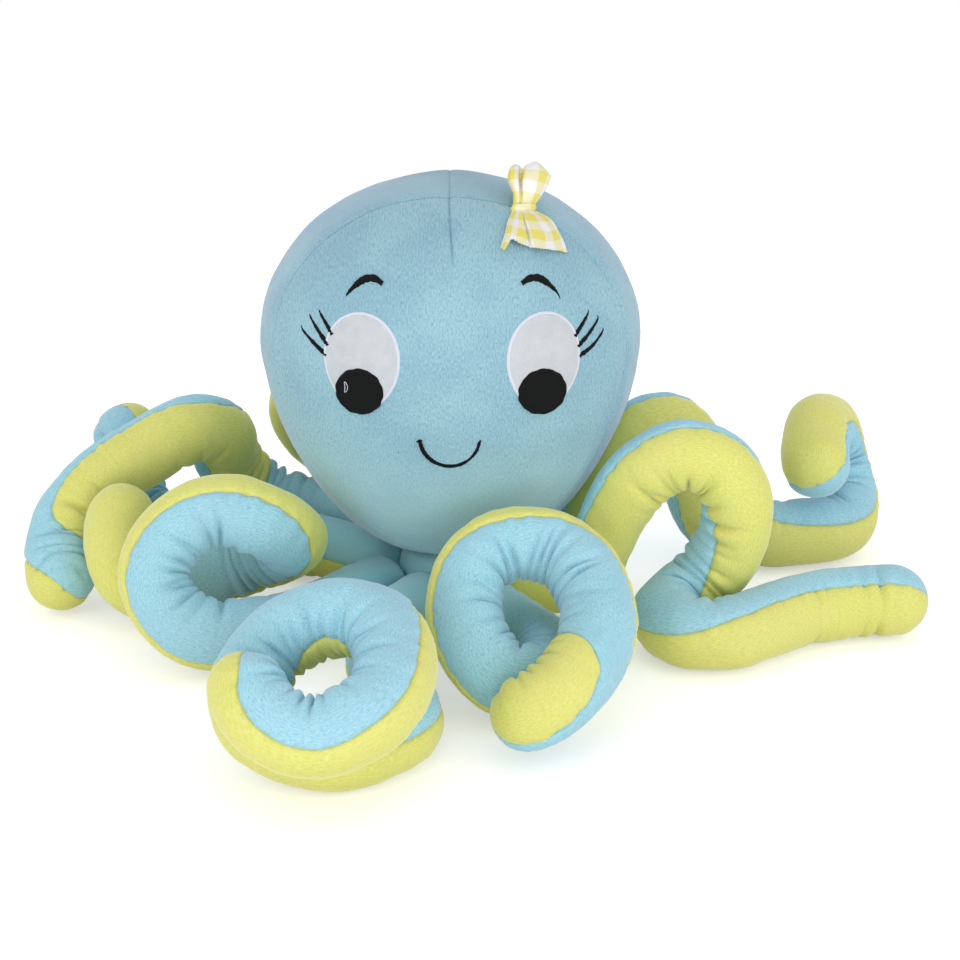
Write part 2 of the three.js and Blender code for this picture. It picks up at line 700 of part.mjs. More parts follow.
// Each lash from its root to its tip, in shares of the eye's half width and half height
const LASH_SHARES = [
  [0.94, 0.66, 1.2, 1.0],
  [1.06, 0.42, 1.46, 0.86],
  [1.12, 0.2, 1.66, 0.6],
];

function lashPieces(name, sign) {
  return LASH_SHARES.map(([rootOut, rootUp, tipOut, tipUp], i) => {
    const place = (out, up) => {
      const x = EYE_SPREAD + (out * EYE_WIDTH) / 2;
      return new THREE.Vector2(sign * x, EYE_LEVEL + (up * EYE_HEIGHT) / 2);
    };
    const line = [place(rootOut, rootUp), place(tipOut, tipUp)];
    const outline = bandOutline(line, [LASH_THICKNESS / 2, LASH_THICKNESS / 6]);
    const solid = appliedTo(outline, GAP, STITCH);
    return part(`lash_${name}_${i + 1}`, geometryFrom(solid), BLACK_THREAD);
  });
}

const MOUTH_STEPS = 10;

function mouthPiece() {
  const line = Array.from({ length: MOUTH_STEPS + 1 }, (_, i) => {
    const angle = (i / MOUTH_STEPS) * Math.PI;
    const x = (-MOUTH_WIDTH / 2) * Math.cos(angle);
    return new THREE.Vector2(x, MOUTH_LEVEL - MOUTH_DROP * Math.sin(angle));
  });
  const outline = bandOutline(line, line.map(() => MOUTH_THICKNESS / 2));
  return part("mouth", geometryFrom(appliedTo(outline, GAP, STITCH)), BLACK_THREAD);
}

function facePieces() {
  return [["left", -1], ["right", 1]].flatMap(([name, sign]) => {
    return [...eyePieces(name, sign), browPiece(name, sign), ...lashPieces(name, sign)];
  });
}

// Bow: two gathered loops of gingham, tacked to the head at their knot

const BOW_SIDES = 8;

// The loop's stations: share of its length, of its width and of its depth
const LOOP_SHARES = [
  [0.0, 0.24, 0.6],
  [0.35, 0.5, 0.95],
  [0.75, 0.85, 1.0],
  [1.0, 1.0, 0.55],
];

function bowLoop(length, width, lean) {
  const dip = (LOOP_SHARES[0][2] * BOW_DEPTH * Math.sin(lean)) / 2;
  const start = (KNOT_HEIGHT / 2 + GAP + dip) / Math.cos(lean);
  const rings = LOOP_SHARES.map(([along, wide, deep]) => {
    return Array.from({ length: BOW_SIDES }, (_, i) => {
      const angle = ((i + 0.5) / BOW_SIDES) * 2 * Math.PI;
      const x = ((wide * width) / 2) * Math.cos(angle);
      const y = ((deep * BOW_DEPTH) / 2) * Math.sin(angle);
      return new THREE.Vector3(x, y, start + along * (length - start));
    });
  });
  return loft(rings);
}

function bowKnot() {
  const radius = KNOT_WIDTH / 2;
  const geometry = new THREE.CylinderGeometry(radius, radius, KNOT_HEIGHT, BOW_SIDES);
  geometry.scale(1, 1, KNOT_DEPTH / KNOT_WIDTH);
  geometry.rotateX(Math.PI / 2);
  return geometry;
}

// How far the loops lean from the knot's flat: the upper one stands up, the lower one lies down
const UPPER_LEAN = THREE.MathUtils.degToRad(24);
const LOWER_LEAN = THREE.MathUtils.degToRad(3);

function bowGroup() {
  const { place, out } = headSurface(BOW_PLACE, BOW_LEVEL);
  const up = new THREE.Vector3(0, 0, 1).addScaledVector(out, -out.z).normalize();
  const across = up.clone().cross(out);
  const upper = part("bow_upper_loop", bowLoop(BOW_UPPER, BOW_UPPER_WIDTH, UPPER_LEAN), GINGHAM);
  upper.rotation.x = UPPER_LEAN;
  const lower = part("bow_lower_loop", bowLoop(BOW_LOWER, BOW_LOWER_WIDTH, LOWER_LEAN), GINGHAM);
  lower.rotation.x = Math.PI + LOWER_LEAN;
  const knot = part("bow_knot", bowKnot(), GINGHAM);
  const bow = new THREE.Group();
  bow.add(upper, lower, knot);
  const turn = new THREE.Matrix4().makeBasis(across, out.clone().negate(), up);
  bow.quaternion.setFromRotationMatrix(turn);
  bow.rotateY(BOW_TURN);
  bow.position.copy(place).addScaledVector(out, KNOT_DEPTH / 2 + KNOT_GAP);
  const head = new THREE.Group();
  head.rotation.x = -HEAD_LEAN;
  head.position.z = NECK_HEIGHT;
  head.add(bow);
  return head;
}

const octopus = new THREE.Group();
octopus.add(...headPieces(), baseCushion(), baseDisc(), ...facePieces(), mouthPiece(), bowGroup());
for (const [name, turn, rows] of ARMS) octopus.add(...armPieces(name, turn, rows));

export default octopus;
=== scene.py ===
# %% [markdown]
# A stuffed octopus of short pile plush: a large round head on a low base, and eight arms that
# keep the curls they are bent to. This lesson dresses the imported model: it loads the hard frame
# of the toy, then makes each sewn piece over it with the folds, seams and pile of the real one.
# The scene is in metres, with the face towards -Y and the table at height zero. Most lengths are
# written in millimetres, as a maker would, and MM turns them into metres.

import bpy
import numpy as np
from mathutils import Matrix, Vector


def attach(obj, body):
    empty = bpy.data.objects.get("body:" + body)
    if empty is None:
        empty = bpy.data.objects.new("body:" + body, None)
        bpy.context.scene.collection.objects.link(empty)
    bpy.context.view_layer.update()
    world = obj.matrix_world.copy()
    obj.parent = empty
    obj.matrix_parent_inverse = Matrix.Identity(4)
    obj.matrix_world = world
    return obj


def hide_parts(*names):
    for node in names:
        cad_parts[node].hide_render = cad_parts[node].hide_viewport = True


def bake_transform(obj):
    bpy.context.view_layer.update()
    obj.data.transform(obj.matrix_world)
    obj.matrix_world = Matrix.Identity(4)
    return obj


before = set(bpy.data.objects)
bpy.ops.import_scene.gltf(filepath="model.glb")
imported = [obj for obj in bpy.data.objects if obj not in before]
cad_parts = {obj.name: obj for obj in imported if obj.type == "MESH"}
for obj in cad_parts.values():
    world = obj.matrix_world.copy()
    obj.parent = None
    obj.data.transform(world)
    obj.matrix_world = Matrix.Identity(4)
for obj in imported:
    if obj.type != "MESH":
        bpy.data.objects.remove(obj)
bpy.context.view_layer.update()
MM = 0.001

# %% [markdown]
# The camera stands where the photograph was taken: a little to the right of the middle, 1.8 m
# away and 20 degrees above the table. A long lens keeps the arms from growing towards us.

# %% Camera
VIEW_TARGET = Vector((21.5, 0, 98)) * MM
VIEW_DISTANCE, VIEW_RISE = 1.8, np.radians(20)
LENS, SENSOR = 91.125, 36
bpy.ops.object.camera_add()
camera = bpy.context.object
camera.name = "camera"
camera.location = VIEW_TARGET + VIEW_DISTANCE * Vector((0, -np.cos(VIEW_RISE), np.sin(VIEW_RISE)))
camera.rotation_euler = (np.pi / 2 - VIEW_RISE, 0, 0)
camera.data.lens, camera.data.sensor_width = LENS, SENSOR
bpy.context.scene.camera = camera
bpy.context.scene.view_settings.view_transform = "Standard"
print("camera at", tuple(round(v, 4) for v in camera.location))

# %% [markdown]
# Shader maths reads best as plain sums. A small class wraps one socket that carries a number,
# and Python's signs add the Math nodes. Every other node comes from one method of the finish.

# %% A number in a shader, and a finish that makes nodes
class Number:
    def __init__(self, finish, socket):
        self.finish, self.socket = finish, socket

    def maths(self, operation, *others):
        return self.finish.number("ShaderNodeMath", {"operation": operation}, [self, *others])

    def __add__(self, other): return self.maths("ADD", other)
    def __radd__(self, other): return self.maths("ADD", other)
    def __sub__(self, other): return self.maths("SUBTRACT", other)
    def __rsub__(self, other): return self * -1 + other
    def __mul__(self, other): return self.maths("MULTIPLY", other)
    def __rmul__(self, other): return self.maths("MULTIPLY", other)

    def over(self, low, high):
        """0 below low, 1 above high, and a smooth rise between them."""
        settings = {"interpolation_type": "SMOOTHSTEP"}
        return self.finish.number("ShaderNodeMapRange", settings, [self, low, high])


class Finish:
    def __init__(self, name, tree=None):
        if tree is None:
            self.material = bpy.data.materials.new(name)
            self.material.use_nodes = True
            tree = self.material.node_tree
        self.tree = tree
        self.tree.nodes.clear()

    def node(self, kind, settings, values):
        """One node: its settings first, then values or links by the place or name of a socket."""
        node = self.tree.nodes.new(kind)
        for key, value in settings.items():
            setattr(node, key, value)
        pairs = values.items() if isinstance(values, dict) else enumerate(values)
        for key, value in pairs:
            socket = node.inputs[key]
            source = value.socket if isinstance(value, Number) else value
            if isinstance(source, bpy.types.NodeSocket):
                self.tree.links.new(source, socket)
            else:
                socket.default_value = source
        return node

    def number(self, kind, settings, values, output=0):
        return Number(self, self.node(kind, settings, values).outputs[output])

    def place(self):
        return self.node("ShaderNodeTexCoord", {}, []).outputs["Object"]

    def weave(self):
        return self.node("ShaderNodeUVMap", {"uv_map": "Cloth"}, []).outputs["UV"]

    def scaled(self, vector, by):
        return self.node("ShaderNodeVectorMath", {"operation": "MULTIPLY"}, [vector, by]).outputs[0]

    def noise(self, vector, scale, detail, rough=0.5):
        values = {"Vector": vector, "Scale": scale, "Detail": detail, "Roughness": rough}
        return self.number("ShaderNodeTexNoise", {}, values)

    def mixed(self, share, colour, other):
        node = self.node("ShaderNodeMix", {"data_type": "RGBA"}, {0: share, 6: colour, 7: other})
        return node.outputs[2]

    def bump(self, height, strength, distance):
        values = {"Strength": strength, "Distance": distance, "Height": height}
        return self.node("ShaderNodeBump", {}, values).outputs[0]

    def seen_straight(self):
        """1 where the camera or a mirror looks, and 0 where the light only bounces."""
        rays = self.node("ShaderNodeLightPath", {}, [])
        straight = [rays.outputs["Is Camera Ray"], rays.outputs["Is Glossy Ray"]]
        return self.number("ShaderNodeMath", {"operation": "MAXIMUM"}, straight)

    def surface(self, **values):
        named = {key.replace("_", " "): value for key, value in values.items()}
        shader = self.node("ShaderNodeBsdfPrincipled", {}, named)
        self.node("ShaderNodeOutputMaterial", {}, {"Surface": shader.outputs[0]})
        return self.material


def linear(red, green, blue):
    """A colour written as the eye sees it on a screen, 0 to 255, as Blender counts light."""
    share = np.array([red, green, blue]) / 255
    light = np.where(share <= 0.04045, share / 12.92, ((share + 0.055) / 1.055) ** 2.4)
    return (*[float(v) for v in light], 1.0)


print("white is", linear(255, 255, 255))

# %% [markdown]
# The toy stands in a white room with large soft lamps, as in a studio for shop pictures. The
# room's own light fills the shadows, a little weaker than the white that the camera sees. A wide
# lamp stands low in front, weaker ones stand on each side and behind, and the weakest hangs
# above. The floor is lifted where it is seen, so that it fades into the white behind it but keeps
# the soft shadow of the toy.

# %% Room, lamps and floor
ROOM_LIGHT, FLOOR_WIDE, FLOOR_TONE, FLOOR_LIFT = 0.7, 2.6, 243, 0.42
world = bpy.data.worlds.new("room")
bpy.context.scene.world = world
world.use_nodes = True
room = Finish("room", world.node_tree)
room_light = ROOM_LIGHT + room.seen_straight() * (1 - ROOM_LIGHT)
glow = room.node("ShaderNodeBackground", {}, {"Color": (1, 1, 1, 1), "Strength": room_light})
room.node("ShaderNodeOutputWorld", {}, {"Surface": glow.outputs[0]})

# Each lamp has its place, the height that it looks at, its width in metres, and its power.
LAMPS = {
    "lamp_above": ((0.15, -0.6, 1.75), 0.1, 1.1, 1.5),
    "lamp_front": ((0.1, -2.3, 0.25), 0.12, 1.4, 18.5),
    "lamp_back": ((-0.3, 2.2, 1.2), 0.12, 1.4, 7),
    "lamp_left": ((-1.6, -1.2, 0.4), 0.1, 1.0, 7.5),
    "lamp_right": ((1.6, -1.1, 0.5), 0.1, 1.0, 6.5),
}
for name, (place, aim_height, width, power) in LAMPS.items():
    bpy.ops.object.light_add(type="AREA", location=place)
    light = bpy.context.object
    light.name = name
    light.data.shape, light.data.size, light.data.energy = "DISK", width, power
    way = Vector((0, 0, aim_height)) - Vector(place)
    light.rotation_euler = way.to_track_quat("-Z", "Y").to_euler()

bpy.ops.mesh.primitive_plane_add(size=FLOOR_WIDE)
floor = bpy.context.object
floor.name = "floor"
pale = Finish("floor_white")
lift = pale.mixed(pale.seen_straight(), (0, 0, 0, 1), (FLOOR_LIFT, FLOOR_LIFT, FLOOR_LIFT, 1))
floor.data.materials.append(pale.surface(
    Base_Color=linear(FLOOR_TONE, FLOOR_TONE, FLOOR_TONE), Roughness=1.0, Specular_IOR_Level=0.0,
    Emission_Color=lift, Emission_Strength=1.0))

# %% [markdown]
# Plush is a knit with a short cut pile. Seen close, the pile lies in fine streaks, and it is
# lighter where the tips catch the light and deeper in colour between them. Brushed patches make
# it a little lighter or darker in soft spots some centimetres wide. The streaks follow each
# piece's own cloth map, in metres, and a soft sheen stands for the light that the pile scatters.
# The head is painted paler towards its narrow end below, and the arms towards their roots,
# where little light comes: this paleness is painted fill light that lifts the shade there.

# %% Plush
PILE_LONG, PILE_WIDE, PILE_HIGH = 2.7 * MM, 1.05 * MM, 1.0 * MM
TUFTS, BRUSHED = 900.0, 17.0
HEIGHT, FROM_MIDDLE = (0, 0, 1), (1, 1, 0)
# Where the painted fill light fades out, from the head's lower end and the arms' roots, and how
# strongly it is painted.
HEAD_PAINTED_FILL, ARM_PAINTED_FILL, PAINTED_FILL_SHARE = (0.085, 0.17), (0.07, 0.17), 0.6


def plush(name, tones, direction, reach, grain=0.5):
    """tones: between the tufts, their sides, their tips, brushed patches, the edge, painted fill
    light.
    """
    deep, middle, tip, brushed_tone, edge, painted_fill = (linear(*tone) for tone in tones)
    made = Finish(name)
    lying = made.scaled(made.weave(), (1 / PILE_LONG, 1 / PILE_WIDE, 1))
    streaks = made.noise(lying, 1.0, 2.0, 0.6)
    tufts = made.noise(made.place(), TUFTS, 2.0, 0.6)
    brushed = made.noise(made.place(), BRUSHED, 2.0)
    pile = streaks * 0.7 + tufts * 0.3
    plain = made.mixed(brushed.over(0.38, 0.62), middle, brushed_tone)
    shade = made.mixed(pile.over(0.26, 0.5), deep, plain)
    colour = made.mixed((pile + brushed * 0.15).over(0.5, 0.82), shade, tip)
    away = made.scaled(made.place(), direction)
    length = made.number("ShaderNodeVectorMath", {"operation": "LENGTH"}, [away], "Value")
    # Painted fill light: the colour turns paler near the head's lower end and the arms' roots,
    # where shade falls.
    colour = made.mixed(length.over(*reach), made.mixed(PAINTED_FILL_SHARE, colour, painted_fill), colour)
    return made.surface(
        Base_Color=colour, Roughness=0.84 + brushed * 0.14, Specular_IOR_Level=0.15,
        Normal=made.bump(pile, grain, PILE_HIGH),
        Sheen_Weight=0.85, Sheen_Roughness=0.38, Sheen_Tint=edge)


# The last tone of each plush is its painted fill light.
head_blue = plush("blue_plush_head", [
    (112, 154, 172), (137, 177, 193), (166, 199, 211), (145, 187, 199), (208, 210, 228),
    (188, 226, 234)], HEIGHT, HEAD_PAINTED_FILL)
arm_blue = plush("blue_plush_arm", [
    (129, 181, 200), (155, 203, 219), (183, 219, 230), (150, 206, 221), (208, 214, 228),
    (172, 232, 246)], FROM_MIDDLE, ARM_PAINTED_FILL)
arm_yellow = plush("yellow_plush", [
    (206, 203, 96), (217, 215, 121), (227, 225, 152), (213, 214, 110), (236, 236, 206),
    (236, 236, 128)], FROM_MIDDLE, ARM_PAINTED_FILL, 0.32)
print("plush finishes", 3)

# %% [markdown]
# The face is applied and stitched. The whites of the eyes are felt, matted fibre without a
# direction. The borders, pupils, brows, lashes and mouth are satin stitch, whose threads lie side
# by side across the line, so the cloth map of each piece gives the way along its line.

# %% Felt and thread
THREAD = 0.42 * MM
FIBRES, MATTED, WANDER, FRAYED = 1500.0, 120.0, 500.0, 1800.0


def felt(name, deep, pale_tone):
    made = Finish(name)
    fibres = made.noise(made.place(), FIBRES, 3.0, 0.7)
    patches = made.noise(made.place(), MATTED, 2.0)
    share = (fibres * 0.7 + patches * 0.3).over(0.35, 0.65)
    return made.surface(
        Base_Color=made.mixed(share, linear(*deep), linear(*pale_tone)),
        Roughness=0.92 + fibres * 0.06, Specular_IOR_Level=0.2,
        Normal=made.bump(fibres, 0.35, 0.35 * MM), Sheen_Weight=0.15, Sheen_Roughness=0.5)


def satin(name, deep, bright, gloss):
    made = Finish(name)
    along = made.number("ShaderNodeSeparateXYZ", {}, [made.weave()])
    wander = made.noise(made.place(), WANDER, 2.0)
    turns = along * (2 * np.pi / THREAD) + wander * 2.4
    ridge = turns.maths("SINE") * 0.5 + 0.5
    frayed = made.noise(made.place(), FRAYED, 2.0, 0.6)
    share = (ridge * 0.7 + frayed * 0.3).over(0.15, 0.75)
    return made.surface(
        Base_Color=made.mixed(share, linear(*deep), linear(*bright)),
        Roughness=gloss + frayed * 0.25, Specular_IOR_Level=0.22,
        Normal=made.bump(ridge + frayed * 0.4, 0.6, 0.22 * MM))


white_felt = felt("white_felt", (186, 191, 195), (200, 205, 209))
white_thread = satin("white_thread", (207, 209, 225), (234, 234, 246), 0.42)
black_thread = satin("black_thread", (1, 1, 2), (9, 10, 12), 0.72)
print("stitched finishes", 3)

# %% [markdown]
# The bow is yellow and white gingham: bands of coloured threads both ways, so that squares where
# two coloured bands cross are strong, where one crosses white are half as strong, and the rest
# are white. Fine ribs of the plain weave lie over it.

# %% Gingham
CHECK, YARN, FLECKS = 9.0 * MM, 0.55 * MM, 1400.0
weft = Finish("gingham")
bands, ribs = [], []
for axis in (0, 1):
    at = weft.number("ShaderNodeSeparateXYZ", {}, [weft.weave()], axis)
    bands.append((at * (np.pi / CHECK)).maths("SINE").over(-0.07, 0.07))
    ribs.append((at * (2 * np.pi / YARN)).maths("SINE") * 0.5 + 0.5)
fleck = weft.noise(weft.place(), FLECKS, 2.0, 0.6)
tint = (bands[0] + bands[1]) * 0.5 * (0.86 + fleck * 0.24)
yarns = ribs[0] * 0.5 + ribs[1] * 0.5
check_cloth = weft.surface(
    Base_Color=weft.mixed(tint, linear(238, 236, 238), linear(229, 219, 112)),
    Roughness=0.8 + fleck * 0.15, Specular_IOR_Level=0.25,
    Normal=weft.bump(yarns + fleck * 0.5, 0.45, 0.2 * MM))
print("check of", CHECK / MM, "mm")

# %% [markdown]
# Two finishes aren't seen while the toy is whole: the fibre that fills the head, and the soft
# wire inside each arm, drawn steel with fine lines along it.

# %% Fibre fill and wire
fibres = Finish("stuffing")
tangle = fibres.noise(fibres.place(), 420.0, 4.0, 0.7)
stuffing = fibres.surface(
    Base_Color=fibres.mixed(tangle.over(0.3, 0.7), linear(214, 212, 205), linear(244, 243, 238)),
    Roughness=0.95 + tangle * 0.04, Specular_IOR_Level=0.15,
    Normal=fibres.bump(tangle, 0.6, 1.5 * MM))
drawn = Finish("wire")
grooves = drawn.noise(drawn.scaled(drawn.place(), (1.0, 1.0, 9.0)), 260.0, 3.0, 0.6)
wire_steel = drawn.surface(
    Base_Color=drawn.mixed(grooves.over(0.3, 0.7), linear(150, 151, 150), linear(205, 206, 204)),
    Metallic=1.0, Roughness=0.35 + grooves * 0.2, Normal=drawn.bump(grooves, 0.25, 0.1 * MM))
for name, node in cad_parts.items():
    if name.endswith("_wire"):
        node.data.materials.clear()
        node.data.materials.append(wire_steel)
print("wires with their own finish", sum(n.endswith("_wire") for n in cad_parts))

# %% [markdown]
# Sewn pieces are built as grids of points in code, because each follows a free curved form. A few
# helpers do all of it: they turn rings of points into faces, make the object with its cloth map
# and smooth shading, and say what it rides on and stands for. A closed form's volume tells
# whether its faces look outwards.

# %% From points to a piece
def ring_faces(rows, across, closed=True):
    """Faces between rows of equally many points, as places in one long list."""
    width = across if closed else across - 1
    i, j = np.meshgrid(np.arange(rows - 1), np.arange(width), indexing="ij")
    here, beside = i * across + j, i * across + (j + 1) % across
    return np.stack([here, beside, beside + across, here + across], -1).reshape(-1, 4)


def fan_faces(pole, ring, closed=True):
    """Triangles from one point to a row of points."""
    nexts = np.roll(ring, -1) if closed else ring[1:]
    heres = ring if closed else ring[:-1]
    return np.stack([np.full(len(heres), pole), heres, nexts], -1)


def looped_faces(rows, across):
    """Faces between rows whose last one meets the first again."""
    return ring_faces(rows + 1, across) % (rows * across)


def closed_faces(rows, across):
    """Faces of a closed form, whose two poles are the last points of its list."""
    count, ring = rows * across, np.arange(across)
    return [ring_faces(rows, across), fan_faces(count, ring[::-1]),
            fan_faces(count + 1, count - across + ring)]


def piece(name, points, faces, finish, cloth=None, turned=None):
    """A mesh object at the origin, its place in its points. cloth is the cloth map, per point."""
    points = np.asarray(points, float)
    if turned is None:
        whole = 0.0
        for group in faces:
            a = points[group[:, 0]]
            for k in range(2, group.shape[1]):
                b, c = points[group[:, k - 1]], points[group[:, k]]
                whole += np.einsum("ij,ij->", a, np.cross(b, c))
        turned = whole < 0
    listed = [tuple(f[::-1]) if turned else tuple(f) for group in faces for f in group.tolist()]
    mesh = bpy.data.meshes.new(name)
    mesh.from_pydata(points.tolist(), [], listed)
    mesh.polygons.foreach_set("use_smooth", [True] * len(mesh.polygons))
    if cloth is not None:
        corners = np.zeros(len(mesh.loops), int)
        mesh.loops.foreach_get("vertex_index", corners)
        layer = mesh.uv_layers.new(name="Cloth")
        layer.data.foreach_set("uv", np.asarray(cloth, float)[corners].astype(np.float32).ravel())
    mesh.update()
    made = bpy.data.objects.new(name, mesh)
    bpy.context.collection.objects.link(made)
    mesh.materials.append(finish)
    return made


def belongs(made, node=None, body="body"):
    """The piece rides a body, and may stand for a node of the frame, whose part it hides."""
    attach(made, body)
    if node:
        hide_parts(node)


def ramp(value, low, high):
    """A smooth rise from 0 at low to 1 at high."""
    share = np.clip((value - low) / (high - low), 0, 1)
    return share * share * (3 - 2 * share)


def lumps(points, size, seed):
    """A soft uneven field between about -1 and 1, with bumps of about this size, in mm."""
    chance = np.random.default_rng(seed)
    total = np.zeros(len(points))
    for _ in range(10):
        way = chance.normal(size=3)
        way *= 2 * np.pi / (size * chance.uniform(0.8, 1.9) * np.linalg.norm(way))
        total += np.sin(points @ way + chance.uniform(0, 2 * np.pi))
    return total / np.sqrt(20)


def puckered(chance, count, short, long):
    """How thread gathers a seam: a sum of waves along it, each from short to long mm."""
    waves = [(2 * np.pi / chance.uniform(short, long), chance.uniform(0, 6.28))
             for _ in range(count)]
    return lambda along: sum(np.sin(along * turn + start) for turn, start in waves) / count**0.5


print("a ring of 8 over 3 rows has", len(ring_faces(3, 8)), "faces")

# %% [markdown]
# A free curve through a row of points gives the outline of the head, the way of each arm, the
# lines of stitches and the cloth of the bow. The centripetal Catmull-Rom curve passes through
# every point without loops, and it is the same one that the hard frame uses for the head and the
# arms, so the plush lies where the frame is.

# %% A smooth curve through points
CURVE_STEPS = 40


def curve_through(points, last=None):
    """Places on the curve, and how far along the row of points each of them is."""
    points = np.asarray(points, float)
    last = 2 * points[-1] - points[-2] if last is None else last
    rows = np.vstack([2 * points[0] - points[1], points, last])
    places, counts = [], []
    for k in range(len(points) - 1):
        p0, p1, p2, p3 = rows[k:k + 4]
        gaps = np.linalg.norm(np.diff(rows[k:k + 4], axis=0), axis=1)
        d0, d1, d2 = np.maximum(gaps, 1e-9) ** 0.5
        t1 = ((p1 - p0) / d0 - (p2 - p0) / (d0 + d1) + (p2 - p1) / d1) * d1
        t2 = ((p2 - p1) / d1 - (p3 - p1) / (d1 + d2) + (p3 - p2) / d2) * d1
        last_one = k == len(points) - 2
        w = np.linspace(0, 1, CURVE_STEPS + 1)[: CURVE_STEPS + last_one, None]
        square, cube = 3 * (p2 - p1) - 2 * t1 - t2, 2 * (p1 - p2) + t1 + t2
        places.append(p1 + t1 * w + square * w**2 + cube * w**3)
        counts.append(k + w[:, 0])
    return np.vstack(places), np.concatenate(counts)


def lengths(places):
    """How far along a row of places each of them is."""
    steps = np.linalg.norm(np.diff(places, axis=0), axis=1)
    return np.concatenate([[0], np.cumsum(steps)])


print("curve length", lengths(curve_through([[0, 0], [3, 4], [6, 8]])[0])[-1])

# %% [markdown]
# The head is an egg that stands on its narrow end, leaning back by 7 degrees. Its outline is
# given as shares of its height and half width. The cover is three panels: a face panel inside an
# oval seam, and two that meet over the crown and down the back. Points of the front can be found
# from their place across and their height, because the face is stitched from the front.

# %% The form of the head
HEAD_WIDTH, HEAD_HEIGHT, NECK_WIDTH, NECK_HEIGHT = 278.0, 272.0, 100.0, 53.0
HEAD_LEAN = np.radians(7)
HEAD_SHARES = [
    (0.0, 0.36), (0.03, 0.46), (0.08, 0.58), (0.16, 0.71), (0.26, 0.83), (0.37, 0.925),
    (0.48, 0.98), (0.58, 1.0), (0.69, 0.955), (0.79, 0.855), (0.88, 0.69), (0.955, 0.44),
    (1.0, 0.0),
]
outline_row = [(out * HEAD_WIDTH / 2, up * HEAD_HEIGHT) for up, out in HEAD_SHARES]
outline_row[0] = (NECK_WIDTH / 2, 0.0)
beyond_crown = (-outline_row[-2][0], outline_row[-2][1])
head_outline, _ = curve_through(outline_row, last=beyond_crown)
head_outline[-1] = (0, HEAD_HEIGHT)
head_radii, head_heights = head_outline[:, 0], head_outline[:, 1]
head_lengths = lengths(head_outline)
head_slopes = np.gradient(head_radii**2 / 2, head_heights)


def leaned(points):
    """From the head's own frame, mm above the neck, to the toy's, in metres."""
    x, y, z = np.moveaxis(np.asarray(points, float), -1, 0)
    turn, rise = np.cos(HEAD_LEAN), np.sin(HEAD_LEAN)
    return np.stack([x, y * turn + z * rise, z * turn - y * rise + NECK_HEIGHT], -1) * MM


def head_normal(x, y, height):
    """The way out of the head at a point of it. The slope is how the radius's square grows."""
    slope = np.interp(height, head_heights, head_slopes)
    out = np.stack([x, y, -slope], -1)
    return out / np.maximum(np.linalg.norm(out, axis=-1, keepdims=True), 1e-9)


def head_front(x, height):
    """The head's front at a place across and a height, and the way out there."""
    radius = np.interp(height, head_heights, head_radii)
    y = -np.sqrt(np.maximum(radius**2 - x**2, 0))
    return np.stack([x, y, height], -1), head_normal(x, y, height)


print("widest", head_radii.max() * 2, "mm, outline", round(head_lengths[-1]), "mm long")

# %% [markdown]
# Where two panels are sewn, the seam pulls the cloth in: a narrow valley with small puckers
# between the stitches, and soft swellings beside it. The same function shapes both sides of a
# seam, so they meet. Cloth simulation would leave such narrow valleys out, since its mesh is
# coarser than they are, so the seams are shaped straight in the points.

# %% Seams of the head
FACE_SEAM = -0.42 * HEAD_WIDTH / 2
SEAM_DEPTH, SEAM_REACH = 2.2, 1.1
DART_END, DART_SIDE = 216.0, 3.0
at_crown = slice(-60, None)
SEAM_TOP = float(np.interp(FACE_SEAM, -head_radii[at_crown], head_heights[at_crown]))
head_pucker = puckered(np.random.default_rng(5), 5, 7, 15)


def seam_line(away):
    return -SEAM_DEPTH * np.exp(-((np.abs(away) / SEAM_REACH) ** 1.3))


def seam_beside(away, along):
    away = np.abs(away)
    swollen = 0.3 * np.exp(-(((away - 9) / 6) ** 2))
    return swollen - 0.4 * np.exp(-away / 4.5) * (1 + 0.8 * head_pucker(along))


def sewn_head(points, in_front):
    """Points of the head's plain form with the seams pressed in and the fill's soft lumps."""
    x, y, height = points.T
    normal = head_normal(x, y, height)
    from_face = (y - FACE_SEAM) / np.sqrt(np.maximum(1 - normal[:, 1] ** 2, 0.05))
    round_face = np.arctan2(height - HEAD_HEIGHT / 2, x) * HEAD_WIDTH / 2
    along = np.interp(height, head_heights, head_lengths)
    other, strength = x, 1 - 0.7 * ramp(height, HEAD_HEIGHT - 14, HEAD_HEIGHT - 3)
    if in_front:
        other = x - DART_SIDE * ramp(SEAM_TOP - height, 0, SEAM_TOP - DART_END)
        strength = ramp(height, DART_END, DART_END + 14)
    moved = np.minimum(seam_line(from_face), strength * seam_line(other))
    moved = moved + seam_beside(from_face, round_face) + strength * seam_beside(other, along)
    moved = moved + 0.5 * lumps(points, 46, 11) + 0.16 * lumps(points, 17, 12)
    return leaned(points + normal * moved[:, None])


print("the face seam's top is", round(SEAM_TOP, 1), "mm above the neck")

# %% [markdown]
# The face panel is a grid that spreads from the middle of the face out to its seam, with its
# rings closer together near the seam and its spokes closer together at the dart of the forehead.

# %% Face panel
COVER = 2.2 * MM
FACE_MIDDLE = 140.0


def backed(made, thickness):
    """Gives a sheet of cloth its thickness, on its inner side."""
    solid = made.modifiers.new("thickness", "SOLIDIFY")
    solid.thickness = thickness
    solid.offset = -1
    bpy.ops.object.select_all(action="DESELECT")
    bpy.context.view_layer.objects.active = made
    made.select_set(True)
    bpy.ops.object.modifier_apply(modifier="thickness")
    made.select_set(False)


def face_seam_row(angles):
    """The seam's place across and height, seen from the front, for angles round the face."""
    heights = np.linspace(0, HEAD_HEIGHT, 4000)
    radii = np.interp(heights, head_heights, head_radii)
    inside = radii > -FACE_SEAM
    heights, across = heights[inside], np.sqrt(radii[inside] ** 2 - FACE_SEAM**2)
    turned = np.arctan2(heights - FACE_MIDDLE, across)
    angle = np.arcsin(np.clip(np.sin(angles), -1, 1))
    found = np.interp(angle, turned, np.hypot(heights - FACE_MIDDLE, across))
    return found * np.cos(angles), FACE_MIDDLE + found * np.sin(angles)


